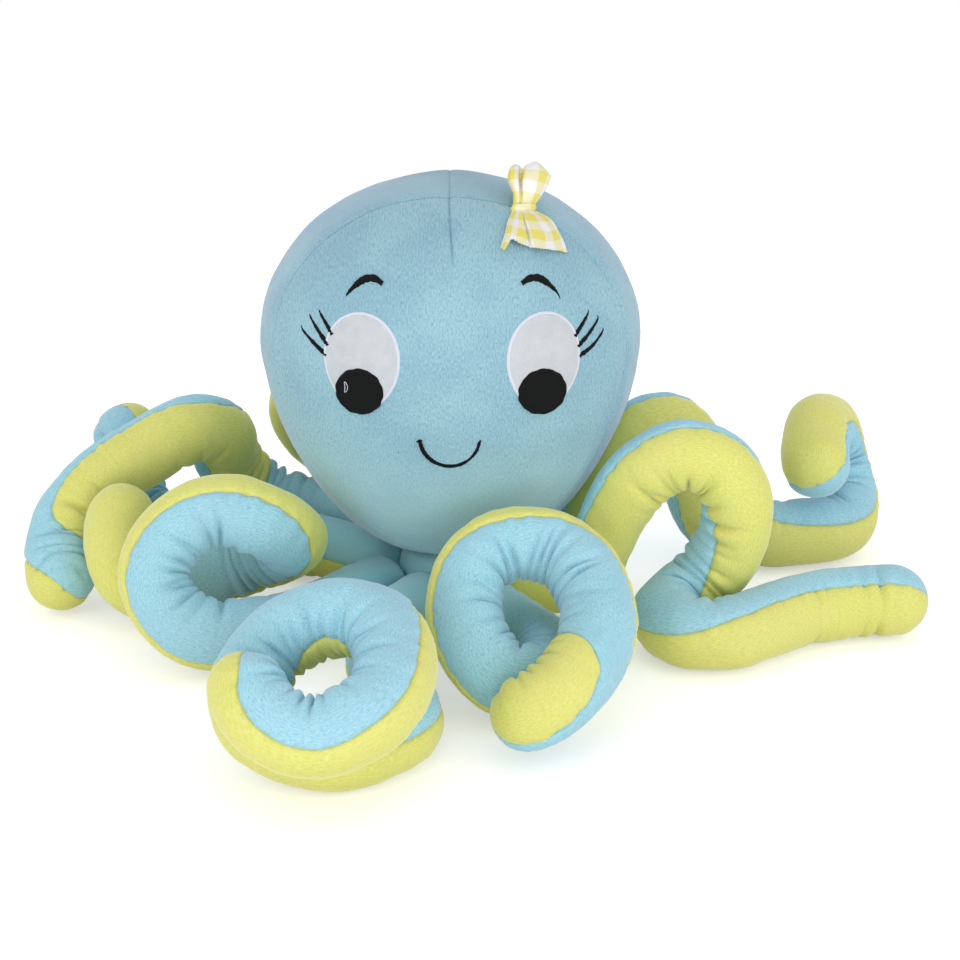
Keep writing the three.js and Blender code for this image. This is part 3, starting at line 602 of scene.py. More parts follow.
SPOKES, DART_SPOKES, DART_REACH, DART_FREE = 300, 41, 3.0, 3.3
RINGS, EDGE_RINGS, EDGE_SHARE = 62, 31, 0.1
even = np.linspace(-np.pi / 2, 3 * np.pi / 2, SPOKES, endpoint=False)
at_dart = np.pi / 2 + np.radians(np.linspace(-DART_REACH, DART_REACH, DART_SPOKES))
away_from_dart = even[np.abs(even - np.pi / 2) > np.radians(DART_FREE)]
spokes = np.sort(np.concatenate([away_from_dart, at_dart]))
rings = np.concatenate([np.linspace(0.012, 1 - EDGE_SHARE, RINGS),
                        1 - EDGE_SHARE * np.linspace(1, 0, EDGE_RINGS)[1:] ** 1.4])
seam_x, seam_h = face_seam_row(spokes)
grid_x = rings[:, None] * seam_x
grid_h = FACE_MIDDLE + rings[:, None] * (seam_h - FACE_MIDDLE)
front, _ = head_front(np.append(0.0, grid_x), np.append(FACE_MIDDLE, grid_h))
faces = [ring_faces(len(rings), len(spokes)) + 1, fan_faces(0, 1 + np.arange(len(spokes))[::-1])]
cloth = np.stack([front[:, 2], front[:, 0]], -1) * MM
middle_out = np.cross(front[2] - front[0], front[1] - front[0])[1] > 0
face_panel = piece("face_panel_plush", sewn_head(front, True), faces, head_blue, cloth, middle_out)
print("face panel", len(face_panel.data.polygons), "faces")

# %% [markdown]
# Each back panel is a grid of rows round the head. The rows lie closer together where the face
# seam ends over the forehead, and the places in a row lie closer together at both of its seams.

# %% Back panels
PANEL_ROWS, PANEL_PLACES, PANEL_EDGE, EDGE_PLACES = 150, 76, 0.06, 15
ROWS_AT_SEAM = np.array([-9, -6, -4, -2.5, -1.2, -0.4, 0.3, 1.0])
CLOTH_ROUND_HEAD = 110


def back_panel(name, side):
    """Rows from the neck to the crown, each from the face seam round to the middle behind."""
    row_lengths = np.linspace(0, head_lengths[-1], PANEL_ROWS)[:-1]
    even_rows = np.interp(row_lengths, head_lengths, head_heights)
    heights = np.unique(np.concatenate([even_rows, SEAM_TOP + ROWS_AT_SEAM]))
    radii = np.interp(heights, head_heights, head_radii)
    start = np.arccos(np.clip(-FACE_SEAM / radii, -1, 1))
    start[radii < -FACE_SEAM] = 0
    edge = PANEL_EDGE * np.linspace(0, 1, EDGE_PLACES) ** 1.3
    middle = np.linspace(PANEL_EDGE, 0.95, PANEL_PLACES)[1:]
    shares = np.unique(np.clip(np.concatenate([edge, middle, 1 - edge[::-1] * 5 / 6]), 0, 1))
    angles = start[:, None] + shares * (np.pi - start[:, None])
    points = np.stack(np.broadcast_arrays(
        side * radii[:, None] * np.sin(angles), -radii[:, None] * np.cos(angles),
        heights[:, None]), -1)
    points = np.vstack([points.reshape(-1, 3), [[0, 0, HEAD_HEIGHT]]])
    last_row = (len(heights) - 1) * len(shares) + np.arange(len(shares))
    faces = [ring_faces(len(heights), len(shares), closed=False),
             fan_faces(len(points) - 1, last_row, closed=False)]
    along = np.interp(points[:, 2], head_heights, head_lengths)
    round_way = np.arctan2(points[:, 0], -points[:, 1]) * CLOTH_ROUND_HEAD
    cloth = np.stack([along, round_way], -1) * MM
    return piece(name, sewn_head(points, False), faces, head_blue, cloth, side > 0)


back_left = back_panel("back_panel_left_plush", -1)
back_right = back_panel("back_panel_right_plush", 1)


def outward_share(made, middle):
    """How much of the piece looks away from the middle, as a share of its faces."""
    faces = made.data.polygons
    return sum((f.center - middle).dot(f.normal) > 0 for f in faces) / len(faces)


head_middle = Vector(leaned([0, 0, HEAD_HEIGHT / 2]))
panels = {"face_panel": face_panel, "back_panel_left": back_left, "back_panel_right": back_right}
for node, made in panels.items():
    if outward_share(made, head_middle) < 0.5:
        made.data.flip_normals()
    print(made.name, "outward", round(outward_share(made, head_middle), 3))
    backed(made, COVER)
    belongs(made, node)

# %% [markdown]
# Inside the cover lies the fibre that fills the head. It shows only if the cover is lifted, so a
# plain turned form with a fibrous finish is enough. It is a profile spun round the head's axis.

# %% Fibre fill of the head
FILL_INSET, FILL_SIDES, FILL_STEP = 6.5, 48, 20
fill_rows = [(max(r - FILL_INSET, 0), np.clip(h, FILL_INSET, HEAD_HEIGHT - FILL_INSET))
             for r, h in outline_row]
picked = curve_through(fill_rows)[0][::FILL_STEP][:-1]
fill_radii, fill_heights = np.maximum(picked[:, :1], 0.5), picked[:, 1:]
fill_sides = np.linspace(0, 2 * np.pi, FILL_SIDES, endpoint=False)
fill_points = np.stack(np.broadcast_arrays(
    fill_radii * np.sin(fill_sides), -fill_radii * np.cos(fill_sides), fill_heights), -1)
fill_points = fill_points.reshape(-1, 3)
fill_points += 0.8 * lumps(fill_points, 30, 21)[:, None] * head_normal(*fill_points.T)
poles = [[0, 0, picked[0, 1]], [0, 0, HEAD_HEIGHT - FILL_INSET]]
head_fill = piece("head_stuffing_fibre", leaned(np.vstack([fill_points, poles])),
                  closed_faces(len(picked), FILL_SIDES), stuffing)
belongs(head_fill, "head_stuffing")
print("fill", len(head_fill.data.polygons), "faces")

# %% [markdown]
# The base is a low stuffed drum between the head and the table. The roots of the arms press into
# it all round, so its wall is dented at each of them, and a flat disc closes it below.

# %% Base cushion and disc
ARM_COUNT, ARM_WIDTH, ROOT_WIDTH, ARM_GAP, GAP = 8, 52.0, 44.0, 0.9, 0.3
ROOT_RING = (ROOT_WIDTH + ARM_GAP * 2) / 2 / np.sin(np.pi / ARM_COUNT)
ROOT_LEVEL = ROOT_WIDTH / 2 + ARM_GAP
BASE_DISC, BASE_SIDES, BASE_ROUND = 3.0, 96, 38
BASE_RADIUS = (ROOT_RING * 2 - ROOT_WIDTH - GAP * 2) / 2
BASE_EDGE = BASE_RADIUS * 0.92
PRESS_GAP, PRESS = 0.6, 1.3


def root_place(turn):
    angle = (turn + 0.5) * 2 * np.pi / ARM_COUNT
    return np.array([ROOT_RING * np.cos(angle), ROOT_RING * np.sin(angle), ROOT_LEVEL])


def turned_form(name, rows, shape=None):
    """A closed form spun round the upright axis, from rows of radius and height in mm."""
    rows = np.asarray(rows, float)
    angles = np.linspace(0, 2 * np.pi, BASE_SIDES, endpoint=False)
    points = np.stack(np.broadcast_arrays(
        rows[:, :1] * np.cos(angles), rows[:, :1] * np.sin(angles), rows[:, 1:]), -1)
    points = points.reshape(-1, 3)
    if shape is not None:
        points = shape(points)
    poles = [[0, 0, rows[0, 1]], [0, 0, points[-BASE_SIDES:, 2].mean()]]
    points = np.vstack([points, poles])
    round_way = np.append(np.tile(angles * BASE_ROUND, len(rows)), [0, 0])
    cloth = np.stack([points[:, 2], round_way], -1)
    return piece(name, points * MM, closed_faces(len(rows), BASE_SIDES), arm_blue, cloth * MM)


def pressed(points):
    """Pushes points out of the arms' root balls, towards the upright axis."""
    for turn in range(ARM_COUNT):
        root = root_place(turn)
        away = points - root
        reach = np.linalg.norm(away, axis=1)
        deep = np.clip(ROOT_WIDTH / 2 + PRESS_GAP - reach, 0, None)
        inward = -points * [1, 1, 0] / np.maximum(np.hypot(*points[:, :2].T), 1)[:, None]
        points = points + inward * deep[:, None] * PRESS
    return points


cushion_low = BASE_DISC + GAP
cushion_high = NECK_HEIGHT - np.sin(HEAD_LEAN) * BASE_EDGE - GAP
drum = [(BASE_RADIUS * share, cushion_low + (cushion_high - cushion_low) * up) for share, up in (
    (0.3, 0), (0.7, 0), (0.86, 0.02), (0.94, 0.08), (0.99, 0.18), (1.02, 0.32), (1.04, 0.5),
    (1.03, 0.68), (0.99, 0.82), (0.93, 0.93), (0.85, 0.99), (0.6, 1.0), (0.2, 1.0))]
base_cushion = turned_form("base_cushion_plush", drum, pressed)
disc_rows = [
    (BASE_EDGE * 0.5, 0), (BASE_EDGE - 0.8, 0), (BASE_EDGE, 0.7), (BASE_EDGE + 0.2, 1.5),
    (BASE_EDGE, BASE_DISC - 0.7), (BASE_EDGE - 0.8, BASE_DISC), (BASE_EDGE * 0.5, BASE_DISC)]
base_disc = turned_form("base_disc_plush", disc_rows)
for made, node, fill in ((base_cushion, "base_cushion", 0.9), (base_disc, "base_disc", 0.6)):
    belongs(made, node)
print("base", round(BASE_RADIUS * 2, 1), "mm wide")

# %% [markdown]
# Each arm is a long tube of two plush strips, one blue and one yellow, sewn together along both
# edges, stuffed, and bent round. Its way through space is a row of places, with the side that
# the blue strip looks to at each of them. Places are shares of the arm's width.

# %% Ways of the arms
FRONT_LEFT = [
    (-0.73, -1.92, 0.52, 0, 0, 1), (-0.92, -3.17, 0.52, 0, 0, 1), (-0.63, -4.31, 0.52, -0.2, 0, 1),
    (-0.58, -5.23, 0.52, -0.3, 0.1, 1), (-1.42, -5.88, 0.52, 0, 0.3, 0.95),
    (-2.27, -5.62, 0.71, 0.4, 0.2, 0.9), (-2.46, -5.04, 1, 0.5, 0, 0.85),
    (-2.08, -4.62, 1.42, 0.3, -0.2, 0.9), (-1.42, -4.62, 1.73, 0, -0.2, 0.95),
    (-0.81, -5.04, 1.77, -0.6, 0, 0.8), (-0.6, -5.88, 1.56, -0.8, 0.1, 0.6),
    (-0.87, -6.58, 1.35, -0.5, 0.2, 0.85), (-1.5, -6.81, 1.17, 0, 0.08, 1),
    (-2.08, -6.65, 1.29, 0.6, 0.12, 0.75), (-2.38, -6.15, 1.56, 0.9, 0.25, 0.2),
    (-2.42, -5.85, 1.71, 0.9, 0.3, -0.1),
]
FRONT_RIGHT = [
    (0.85, -2.02, 0.52, 0, 0, 1), (1.27, -2.88, 0.52, 0, -0.2, 1),
    (1.31, -3.38, 0.52, 0.1, -0.5, 0.85), (1.17, -3.88, 0.54, 0.1, -0.6, 0.8),
    (0.75, -4.06, 0.65, 0.25, -0.7, 0.65), (0.38, -3.81, 0.92, 0.45, -0.8, 0.4),
    (0.21, -3.35, 1.31, 0.5, -0.8, 0.3), (0.38, -2.92, 1.77, 0.35, -0.85, -0.1),
    (0.92, -2.73, 1.98, 0, -0.88, -0.42), (1.54, -2.85, 1.87, -0.25, -0.9, 0),
    (1.9, -3.38, 1.54, -0.3, -0.85, 0.4), (1.88, -4.19, 1.23, -0.15, -0.8, 0.6),
    (1.54, -4.85, 0.94, 0.65, 0.45, -0.5), (1.04, -5.12, 0.69, 0.35, 0.55, -0.75),
    (0.54, -5.12, 0.6, 0.2, 0.5, -0.85),
]
LEFT_FRONT = [
    (-1.54, -1.27, 0.52, 0, -0.1, 1), (-2.04, -1.87, 0.52, 0, -0.4, 1),
    (-2.65, -2.33, 0.54, -0.2, -0.6, 0.9), (-3.27, -2.52, 0.6, 0, -0.65, 0.9),
    (-3.77, -2.4, 0.9, 0.5, -0.7, 0.6), (-3.96, -2.19, 1.35, 0.7, -0.7, 0.2),
    (-3.69, -1.92, 1.85, 0.45, -0.7, -0.35), (-3.12, -1.77, 2.08, 0, -0.7, -0.55),
    (-2.5, -1.69, 1.9, -0.45, -0.7, -0.3), (-2.19, -1.37, 1.54, -0.68, -0.6, 0.1),
    (-2.4, -0.96, 1.23, -0.5, -0.6, 0.45), (-2.88, -0.69, 0.96, -0.2, -0.8, 0.5),
    (-3.54, -0.79, 0.73, 0.1, -0.8, 0.5), (-4.06, -0.92, 0.6, 0.45, -0.35, 0.75),
    (-4.5, -0.85, 0.75, 0.5, 0.45, 0.65), (-4.69, -0.52, 1.12, 0.4, 0.8, 0.2),
    (-4.67, -0.15, 1.46, 0.2, 0.8, -0.4), (-4.62, 0.17, 1.56, 0.2, 0.5, -0.8),
]
LEFT_BACK = [
    (-1.88, 0.88, 0.52, 0, 0, 1), (-2.88, 1.12, 0.52, 0, 0, 1), (-3.94, 1.42, 0.54, 0, 0.3, 0.9),
    (-4.65, 1.81, 0.69, 0.3, 0.3, 0.8), (-4.94, 2.23, 1.19, 0.5, -0.6, 0.3),
    (-4.92, 2.35, 1.77, -0.7, -0.7, 0.1), (-4.9, 2.27, 2.23, -0.75, -0.6, -0.1),
]
BACK_LEFT = [
    (-1.15, 1.92, 0.52, 0, 0, 1), (-2.15, 2.42, 0.52, 0, 0, 1), (-3, 2.5, 0.81, -0.5, 0, 0.9),
    (-3.42, 2.27, 1.42, -0.8, 0, 0.3), (-3.46, 1.81, 1.96, -0.4, 0.4, 0.2),
    (-3.85, 1.42, 2.17, 0, 0.9, 0.25), (-4.54, 1.15, 1.88, 0, 0.95, 0.12),
    (-5.17, 0.83, 1.52, -0.25, 0.95, 0.2), (-5.56, 0.46, 1.1, -0.5, 0.75, 0.3),
    (-5.65, 0.08, 0.75, -0.2, 0.4, 0.8), (-5.58, -0.35, 0.54, 0.5, 0, 0.8),
    (-5.46, -0.77, 0.52, 0.75, 0, 0.6),
]
BACK_RIGHT = [
    (0.31, 2.1, 0.52, 0, 0, 1), (-0.19, 2.9, 0.52, 0, 0, 1), (-1.12, 3.5, 0.62, 0.4, 0, 0.9),
    (-1.88, 3.44, 1.15, 0.9, 0, 0.3), (-2.33, 3.04, 1.92, 1, 0, -0.1),
    (-2, 3.12, 2.65, 0.5, 0, -0.8), (-1.08, 3.42, 2.92, 0, 0, -1),
    (-0.27, 3.54, 2.38, -0.8, 0, -0.4), (-0.19, 3.54, 1.65, -1, 0, 0.2),
    (-0.42, 3.54, 1.19, -0.6, 0, 0.8),
]
RIGHT_FRONT = [
    (1.85, -0.65, 0.65, -0.3, 0.9, 0.4), (2.12, -0.85, 1.27, -0.4, 0.9, 0.2),
    (2.35, -0.96, 1.88, -0.4, 0.9, 0.2), (2.69, -1.04, 2.38, -0.3, 0.9, 0.3),
    (3.23, -1.12, 2.65, 0, 0.9, 0.3), (3.73, -1.17, 2.46, 0.3, 0.9, 0),
    (3.96, -1.19, 1.92, -0.5, 0.8, -0.2), (3.85, -1.15, 1.31, -0.8, 0.4, -0.2),
    (3.54, -1.15, 0.83, -0.7, 0.2, 0.6), (3.19, -1.35, 0.58, -0.5, 0.1, 0.9),
    (2.98, -1.81, 0.54, -0.1, 0.1, 1), (3.23, -2.27, 0.52, 0, 0.3, 1),
    (3.77, -2.29, 0.52, -0.2, 0.7, 0.6), (4.23, -2, 0.52, -0.5, 0.65, 0.5),
    (4.96, -1.46, 0.52, -0.35, 0.72, 0.55), (5.81, -1.19, 0.52, 0, 0.78, 0.6),
    (6.67, -1.23, 0.54, 0, 0.78, 0.6),
]
RIGHT_BACK = [
    (1.77, 0.62, 0.69, -0.2, 0.9, 0.3), (2.15, 0.85, 1.35, -0.3, 0.9, 0.2),
    (2.42, 1, 1.88, -0.3, 0.9, 0.2), (2.81, 1.15, 2.25, -0.2, 0.95, 0.1),
    (3.23, 1.33, 2.23, -0.2, 0.95, 0), (3.56, 1.46, 1.81, -0.5, 0.85, -0.15),
    (3.65, 1.5, 1.19, -0.8, 0.6, 0), (3.98, 1.46, 0.67, -0.3, 0.9, -0.2),
    (4.65, 1.38, 0.54, 0, 0.7, 0.7), (5.35, 1.46, 0.54, 0, 0.5, 0.85),
    (5.87, 1.77, 0.56, -0.3, 0.3, 0.9), (6, 2.29, 0.73, -0.3, 0, 0.9),
    (5.88, 2.71, 1.23, -0.2, -0.9, 0.3), (5.69, 2.54, 1.79, -0.1, -0.7, -0.7),
    (5.48, 2, 1.94, 0.3, -0.2, -0.9), (5.38, 1.38, 1.75, 0.4, 0, -0.9),
    (5.35, 0.73, 1.54, 0.42, 0, -0.9),
]
ARMS = {
    "arm_right_back": RIGHT_BACK, "arm_back_right": BACK_RIGHT, "arm_back_left": BACK_LEFT,
    "arm_left_back": LEFT_BACK, "arm_left_front": LEFT_FRONT, "arm_front_left": FRONT_LEFT,
    "arm_front_right": FRONT_RIGHT, "arm_right_front": RIGHT_FRONT,
}
print("arms", len(ARMS), "places", sum(len(rows) for rows in ARMS.values()))

# %% [markdown]
# An arm is laid out in stations along its way, each with its place, the way of its blue side, the
# way of its seam, its radius and its bend. The root is slimmer than the rest, and both ends are
# round. The bend points to the middle of the turn and is one over its radius.

# %% Stations of an arm
STATION_STEP, CAP_STEPS, PLACE_EASE, WAY_EASE = 1.7, 12, 2, 5
SWELL = [(0, 0), (0.12, 0.25), (0.3, 1), (1, 1)]


def eased(values, sigma):
    """Values along the arm, smoothed over about sigma stations."""
    reach = int(3 * sigma)
    weights = np.exp(-0.5 * (np.arange(-reach, reach + 1) / sigma) ** 2)
    weights /= weights.sum()
    padded = np.pad(values, ((reach, reach), (0, 0)), mode="edge")
    return np.stack([np.convolve(column, weights, mode="valid") for column in padded.T], -1)


def unit(vectors):
    return vectors / np.maximum(np.linalg.norm(vectors, axis=-1, keepdims=True), 1e-9)


def stations(turn, rows):
    """What strip needs to know at each station of an arm. turn is its place round the base."""
    rows = np.asarray(rows, float)
    places, counts = curve_through(np.vstack([root_place(turn), rows[:, :3] * ARM_WIDTH]))
    ways = unit(np.vstack([rows[:1, 3:], rows[:, 3:]]))
    far = lengths(places)
    total = far[-1]
    root, tip = ROOT_WIDTH / 2, ARM_WIDTH / 2
    run = np.linspace(0, total - tip, int((total - tip) / STATION_STEP) + 1)
    caps = np.linspace(0, np.pi / 2, CAP_STEPS + 1)[1:-1]
    before, after = -root * np.cos(caps), total - tip + tip * np.cos(caps[::-1])
    at = np.concatenate([[-root], before, run, after, [total]])
    swell = root + (tip - root) * np.interp(run / total, *zip(*SWELL))
    radius = np.concatenate([[0], root * np.sin(caps), swell, tip * np.sin(caps[::-1]), [0]])
    inside = np.clip(at, 0, total)
    place = np.stack([np.interp(inside, far, column) for column in places.T], -1)
    tangent = unit(np.gradient(eased(place, PLACE_EASE), axis=0))
    starts = at < 0
    tangent[starts] = tangent[~starts][2]
    place[starts] += tangent[starts] * at[starts, None]
    count = np.interp(inside, far, counts)
    row = np.minimum(count.astype(int), len(ways) - 2)
    share = (count - row)[:, None]
    blue = eased(ways[row] * (1 - share) + ways[row + 1] * share, WAY_EASE)
    blue = unit(blue - (blue * tangent).sum(1, keepdims=True) * tangent)
    side = unit(np.cross(tangent, blue))
    bend = np.zeros_like(place)
    whole = slice(len(caps) + 1, len(caps) + 1 + len(run))
    bend[whole] = np.gradient(tangent[whole], axis=0) / np.gradient(run)[:, None]
    bend[whole] = eased(bend[whole], WAY_EASE)
    bend[: whole.start] = bend[whole.start]
    bend[whole.stop:] = bend[whole.stop - 1]
    return {"at": at, "place": place, "blue": blue, "side": side, "radius": radius,
            "bend": bend, "length": total}


laid = {name: stations(turn, rows) for turn, (name, rows) in enumerate(ARMS.items())}
for name, line in laid.items():
    print(name, round(line["length"]), "mm,", len(line["at"]), "stations, tightest turn",
          round(1 / np.linalg.norm(line["bend"], axis=1).max()), "mm")

# %% [markdown]
# Where an arm turns, its inner side has too much cloth, and the stuffing pushes it up in folds
# that run across the arm and fade towards the outer side. Each fold is a sharp valley with soft
# swellings beside it. Valleys are strewn along the arm at uneven distances, with their own depth,
# reach and slant, and show only where the arm bends. The seams are narrow valleys too, and the
# thread gathers them into small puckers. These narrow forms are shaped straight in the points,
# because a cloth simulation of eight such curled tubes would take far too long.

# %% Folds of an arm
FOLD_DEPTH, FOLD_STEP, FOLD_WIDTH, FOLD_REACH = 8.0, (9.5, 16.5), (5.0, 9.0), (85, 130)
FOLD_SLANT, FOLD_CURL, FOLD_PUFF = 0.13, 0.006, 0.12
ARM_SEAM_DEPTH, ARM_SEAM_REACH = 1.25, 1.5


def round_from(angles, middle):
    """The angle from a middle, either way round, between 0 and pi."""
    return np.abs((angles - middle + np.pi) % (2 * np.pi) - np.pi)


def folds(line, angles, bent, seed):
    """How far in the cloth goes at each station and angle. bent is the angle of the inner side."""
    chance = np.random.default_rng(seed)
    at = line["at"][:, None]
    turn = np.linalg.norm(line["bend"], axis=1)[:, None] * line["radius"][:, None]
    off = round_from(angles, bent[:, None])
    across = np.sin(angles - bent[:, None]) * line["radius"][:, None]
    total = np.zeros(angles.shape)
    place = 8.0
    while place < line["length"]:
        depth = chance.uniform(0.35, 1.0)
        reach = np.radians(chance.uniform(*FOLD_REACH))
        slant, curl = chance.normal(0, FOLD_SLANT), chance.normal(0, FOLD_CURL)
        width = chance.uniform(*FOLD_WIDTH) * (0.8 + 0.35 * off / np.pi)
        away = np.abs(at - place - slant * across - curl * across**2) / width
        total += depth * np.clip(1 - away, 0, None) ** 2 * ramp(reach - off, 0, reach * 0.6)
        place += chance.uniform(*FOLD_STEP)
    puffed = FOLD_PUFF * ramp(np.radians(120) - off, 0, 1)
    strength = ramp(turn, 0.1, 0.42) * (0.4 + 0.6 * ramp(off, 0.2, 0.8))
    return -FOLD_DEPTH * strength * (np.minimum(total, 1.2) - puffed)


def seam_pull(line, angles, seed):
    """The two seams lie a quarter turn from the blue side's middle."""
    pucker = puckered(np.random.default_rng(seed), 6, 6, 16)(line["at"][:, None])
    from_seam = np.abs(round_from(angles, 0) - np.pi / 2) * line["radius"][:, None]
    narrow = -ARM_SEAM_DEPTH * np.exp(-((from_seam / ARM_SEAM_REACH) ** 1.4))
    return narrow - 0.6 * np.exp(-from_seam / 5.5) * (1 + 1.1 * pucker)


print("folds are up to", FOLD_DEPTH, "mm deep")

# %% [markdown]
# A strip is half of the tube, closed by a sheet between its two seams. The inner side of a tight
# turn is drawn in, as in the hard frame, so that the folds of the two sides don't cross.

# %% Arm strips
AROUND, INNER_SHARE, INNER_POWER = 30, 0.8, 4
SHEET_RISE, WIRE_CHANNEL, POLE_CLOTH = 0.3, 6.0, 40


def drawn_in(offset, bend):
    """Offsets from the arm's middle line, made smaller where they come near the turn's middle."""
    size = np.linalg.norm(bend, axis=-1)
    inward = bend / np.maximum(size, 1e-9)[..., None]
    reach = (offset * inward[:, None]).sum(-1)
    share = np.clip(reach, 0, None) * size[:, None] / INNER_SHARE
    kept = (1 + share**INNER_POWER) ** (-1 / INNER_POWER)
    return offset + inward[:, None] * (reach * (kept - 1))[..., None]


def strip(name, line, seed, blue_side, finish):
    """Half of an arm's tube. The yellow half leaves a channel for the wire."""
    first = -np.pi / 2 if blue_side else np.pi / 2
    cut = {key: value[1:-1] for key, value in line.items() if key != "length"}
    cut["length"] = line["length"]
    bend, blue, side, radius = (cut[key] for key in ("bend", "blue", "side", "radius"))
    half_turn = first + np.linspace(0, np.pi, AROUND + 1)
    angles = np.broadcast_to(half_turn, (len(radius), AROUND + 1))
    bent = np.arctan2((bend * side).sum(1), (bend * blue).sum(1))
    out = np.cos(angles)[..., None] * blue[:, None] + np.sin(angles)[..., None] * side[:, None]
    body = cut["place"][:, None] + drawn_in(radius[:, None, None] * out, bend)
    flat = body.reshape(-1, 3)
    soft = (0.55 * lumps(flat, 34, seed) + 0.25 * lumps(flat, 12, seed + 1)).reshape(angles.shape)
    moved = folds(cut, angles, bent, seed + 2) + seam_pull(cut, angles, seed + 3) + soft
    moved = moved * np.minimum(radius / (ARM_WIDTH / 2), 1)[:, None]
    body = body + out * moved[..., None]
    dip = SHEET_RISE if blue_side else -WIRE_CHANNEL
    open_share = np.minimum(radius / (ROOT_WIDTH / 2), 1)
    middle = cut["place"] + blue * (dip * open_share)[:, None]
    rings = np.concatenate([body, middle[:, None]], axis=1)
    count, width = rings.shape[:2]
    points = np.vstack([rings.reshape(-1, 3), line["place"][:1], line["place"][-1:]])
    along = np.repeat(cut["at"][:, None], width, 1)
    round_way = np.concatenate([(angles - first) * ARM_WIDTH / 2, np.zeros((count, 1))], 1)
    poles = [[cut["at"][0], POLE_CLOTH], [cut["at"][-1], POLE_CLOTH]]
    cloth = np.vstack([np.stack([along, round_way], -1).reshape(-1, 2), poles])
    return piece(name, points * MM, closed_faces(count, width), finish, cloth * MM)


for turn, (name, line) in enumerate(laid.items()):
    way = root_place(turn) * [1, 1, 0] / ROOT_RING
    for colour, finish in (("blue", arm_blue), ("yellow", arm_yellow)):
        made = strip(f"{name}_{colour}_plush", line, 100 + 10 * turn, colour == "blue", finish)
        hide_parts(f"{name}_{colour}_strip")
        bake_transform(made)
    print(name, "blue and yellow", len(made.data.polygons), "faces each")

# %% [markdown]
# The eyes are egg-shaped felt patches with a satin border, and round pupils stitched over them.
# All of it lies on the head, so each point is found from its place across and its height on the
# front, and is then raised from the plush by the thickness of the layer.

# %% Pieces of the face
PATCH_SIDES, PATCH_RINGS, BAND_STEPS = 96, 14, 11
FACE_FINISHES = {
    "white_felt": white_felt, "white_thread": white_thread, "black_thread": black_thread}


def raised(x, height, over):
    """A point over the head's front by a distance, in the toy's frame."""
    place, out = head_front(np.asarray(x, float), np.asarray(height, float))
    return leaned(place + out * np.asarray(over, float)[..., None])


def egg(x, level, width, height, angles, egg_share=0.07):
    across = width / 2 * np.cos(angles) * (1 + egg_share * np.sin(angles))
    return x + across, level + height / 2 * np.sin(angles)


def on_face(name, points, faces, cloth, slot, node):
    """A piece of the face, in the finish of its slot."""
    belongs(piece(name, points, faces, FACE_FINISHES[slot], cloth * MM), node)


def patch(name, centre, size, low, high, slot, node, egg_share=0.07, dome=0.0):
    """A closed flat piece: a top grid from its middle out, a rounded edge, and a grid below."""
    angles = np.linspace(0, 2 * np.pi, PATCH_SIDES, endpoint=False)
    edge_x, edge_h = egg(*centre, *size, angles, egg_share)
    top = np.linspace(0.08, 0.93, PATCH_RINGS)
    shares = np.concatenate([top, [0.965, 0.99, 1.0, 0.995, 0.9, 0.4]])
    edge = [high - 0.05, high - 0.25, (high + low) / 2, low + 0.1, low, low]
    heights = np.concatenate([high + dome * (1 - top**2), edge])
    x = centre[0] + shares[:, None] * (edge_x - centre[0])
    h = centre[1] + shares[:, None] * (edge_h - centre[1])
    over = np.append(np.broadcast_to(heights[:, None], x.shape), [high + dome, low])
    x, h = np.append(x, [centre[0]] * 2), np.append(h, [centre[1]] * 2)
    faces = closed_faces(len(shares), PATCH_SIDES)
    on_face(name, raised(x, h, over), faces, np.stack([h, x], -1), slot, node)


def stitched(name, line, halves, low, high, slot, node=None, closed=False):
    """Satin stitch along a line of places on the front: a low rounded band, closed below."""
    line = np.asarray(line, float)
    if closed:
        along = np.roll(line, -1, 0) - np.roll(line, 1, 0)
    else:
        along = np.gradient(line, axis=0)
    side = unit(np.stack([-along[:, 1], along[:, 0]], -1))
    turns = np.linspace(np.pi, 0, BAND_STEPS)
    across = np.concatenate([np.cos(turns), [0.7, 0.0, -0.7]])
    rise = np.concatenate([np.sin(turns) ** 0.8, [0, 0, 0]])
    halves = np.broadcast_to(halves, len(line))[:, None]
    x = line[:, :1] + side[:, :1] * halves * across
    h = line[:, 1:] + side[:, 1:] * halves * across
    thick = np.minimum(high - low, halves * 1.1 + 0.15)
    width, far = len(across), lengths(line)
    cloth = np.stack([np.repeat(far[:, None], width, 1), halves * across], -1).reshape(-1, 2)
    points = raised(x, h, low + thick * rise).reshape(-1, 3)
    faces = [looped_faces(len(line), width)]
    if not closed:
        ends = raised(line[[0, -1], 0], line[[0, -1], 1], np.array([low, low]) + 0.2)
        points = np.vstack([points, ends])
        cloth = np.vstack([cloth, [[0, 0], [far[-1], 0]]])
        faces = closed_faces(len(line), width)
    on_face(name, points, faces, cloth, slot, node)


print("a point between the eyes", [round(float(v), 3) for v in raised(0.0, 155.0, np.array(0.0))])

# %% [markdown]
# Each eye is a patch, a satin border round it, and a pupil in two pieces: its flat middle and a
# raised rim, whose outer edge is a little uneven, as thread leaves it. The left pupil has a glint.

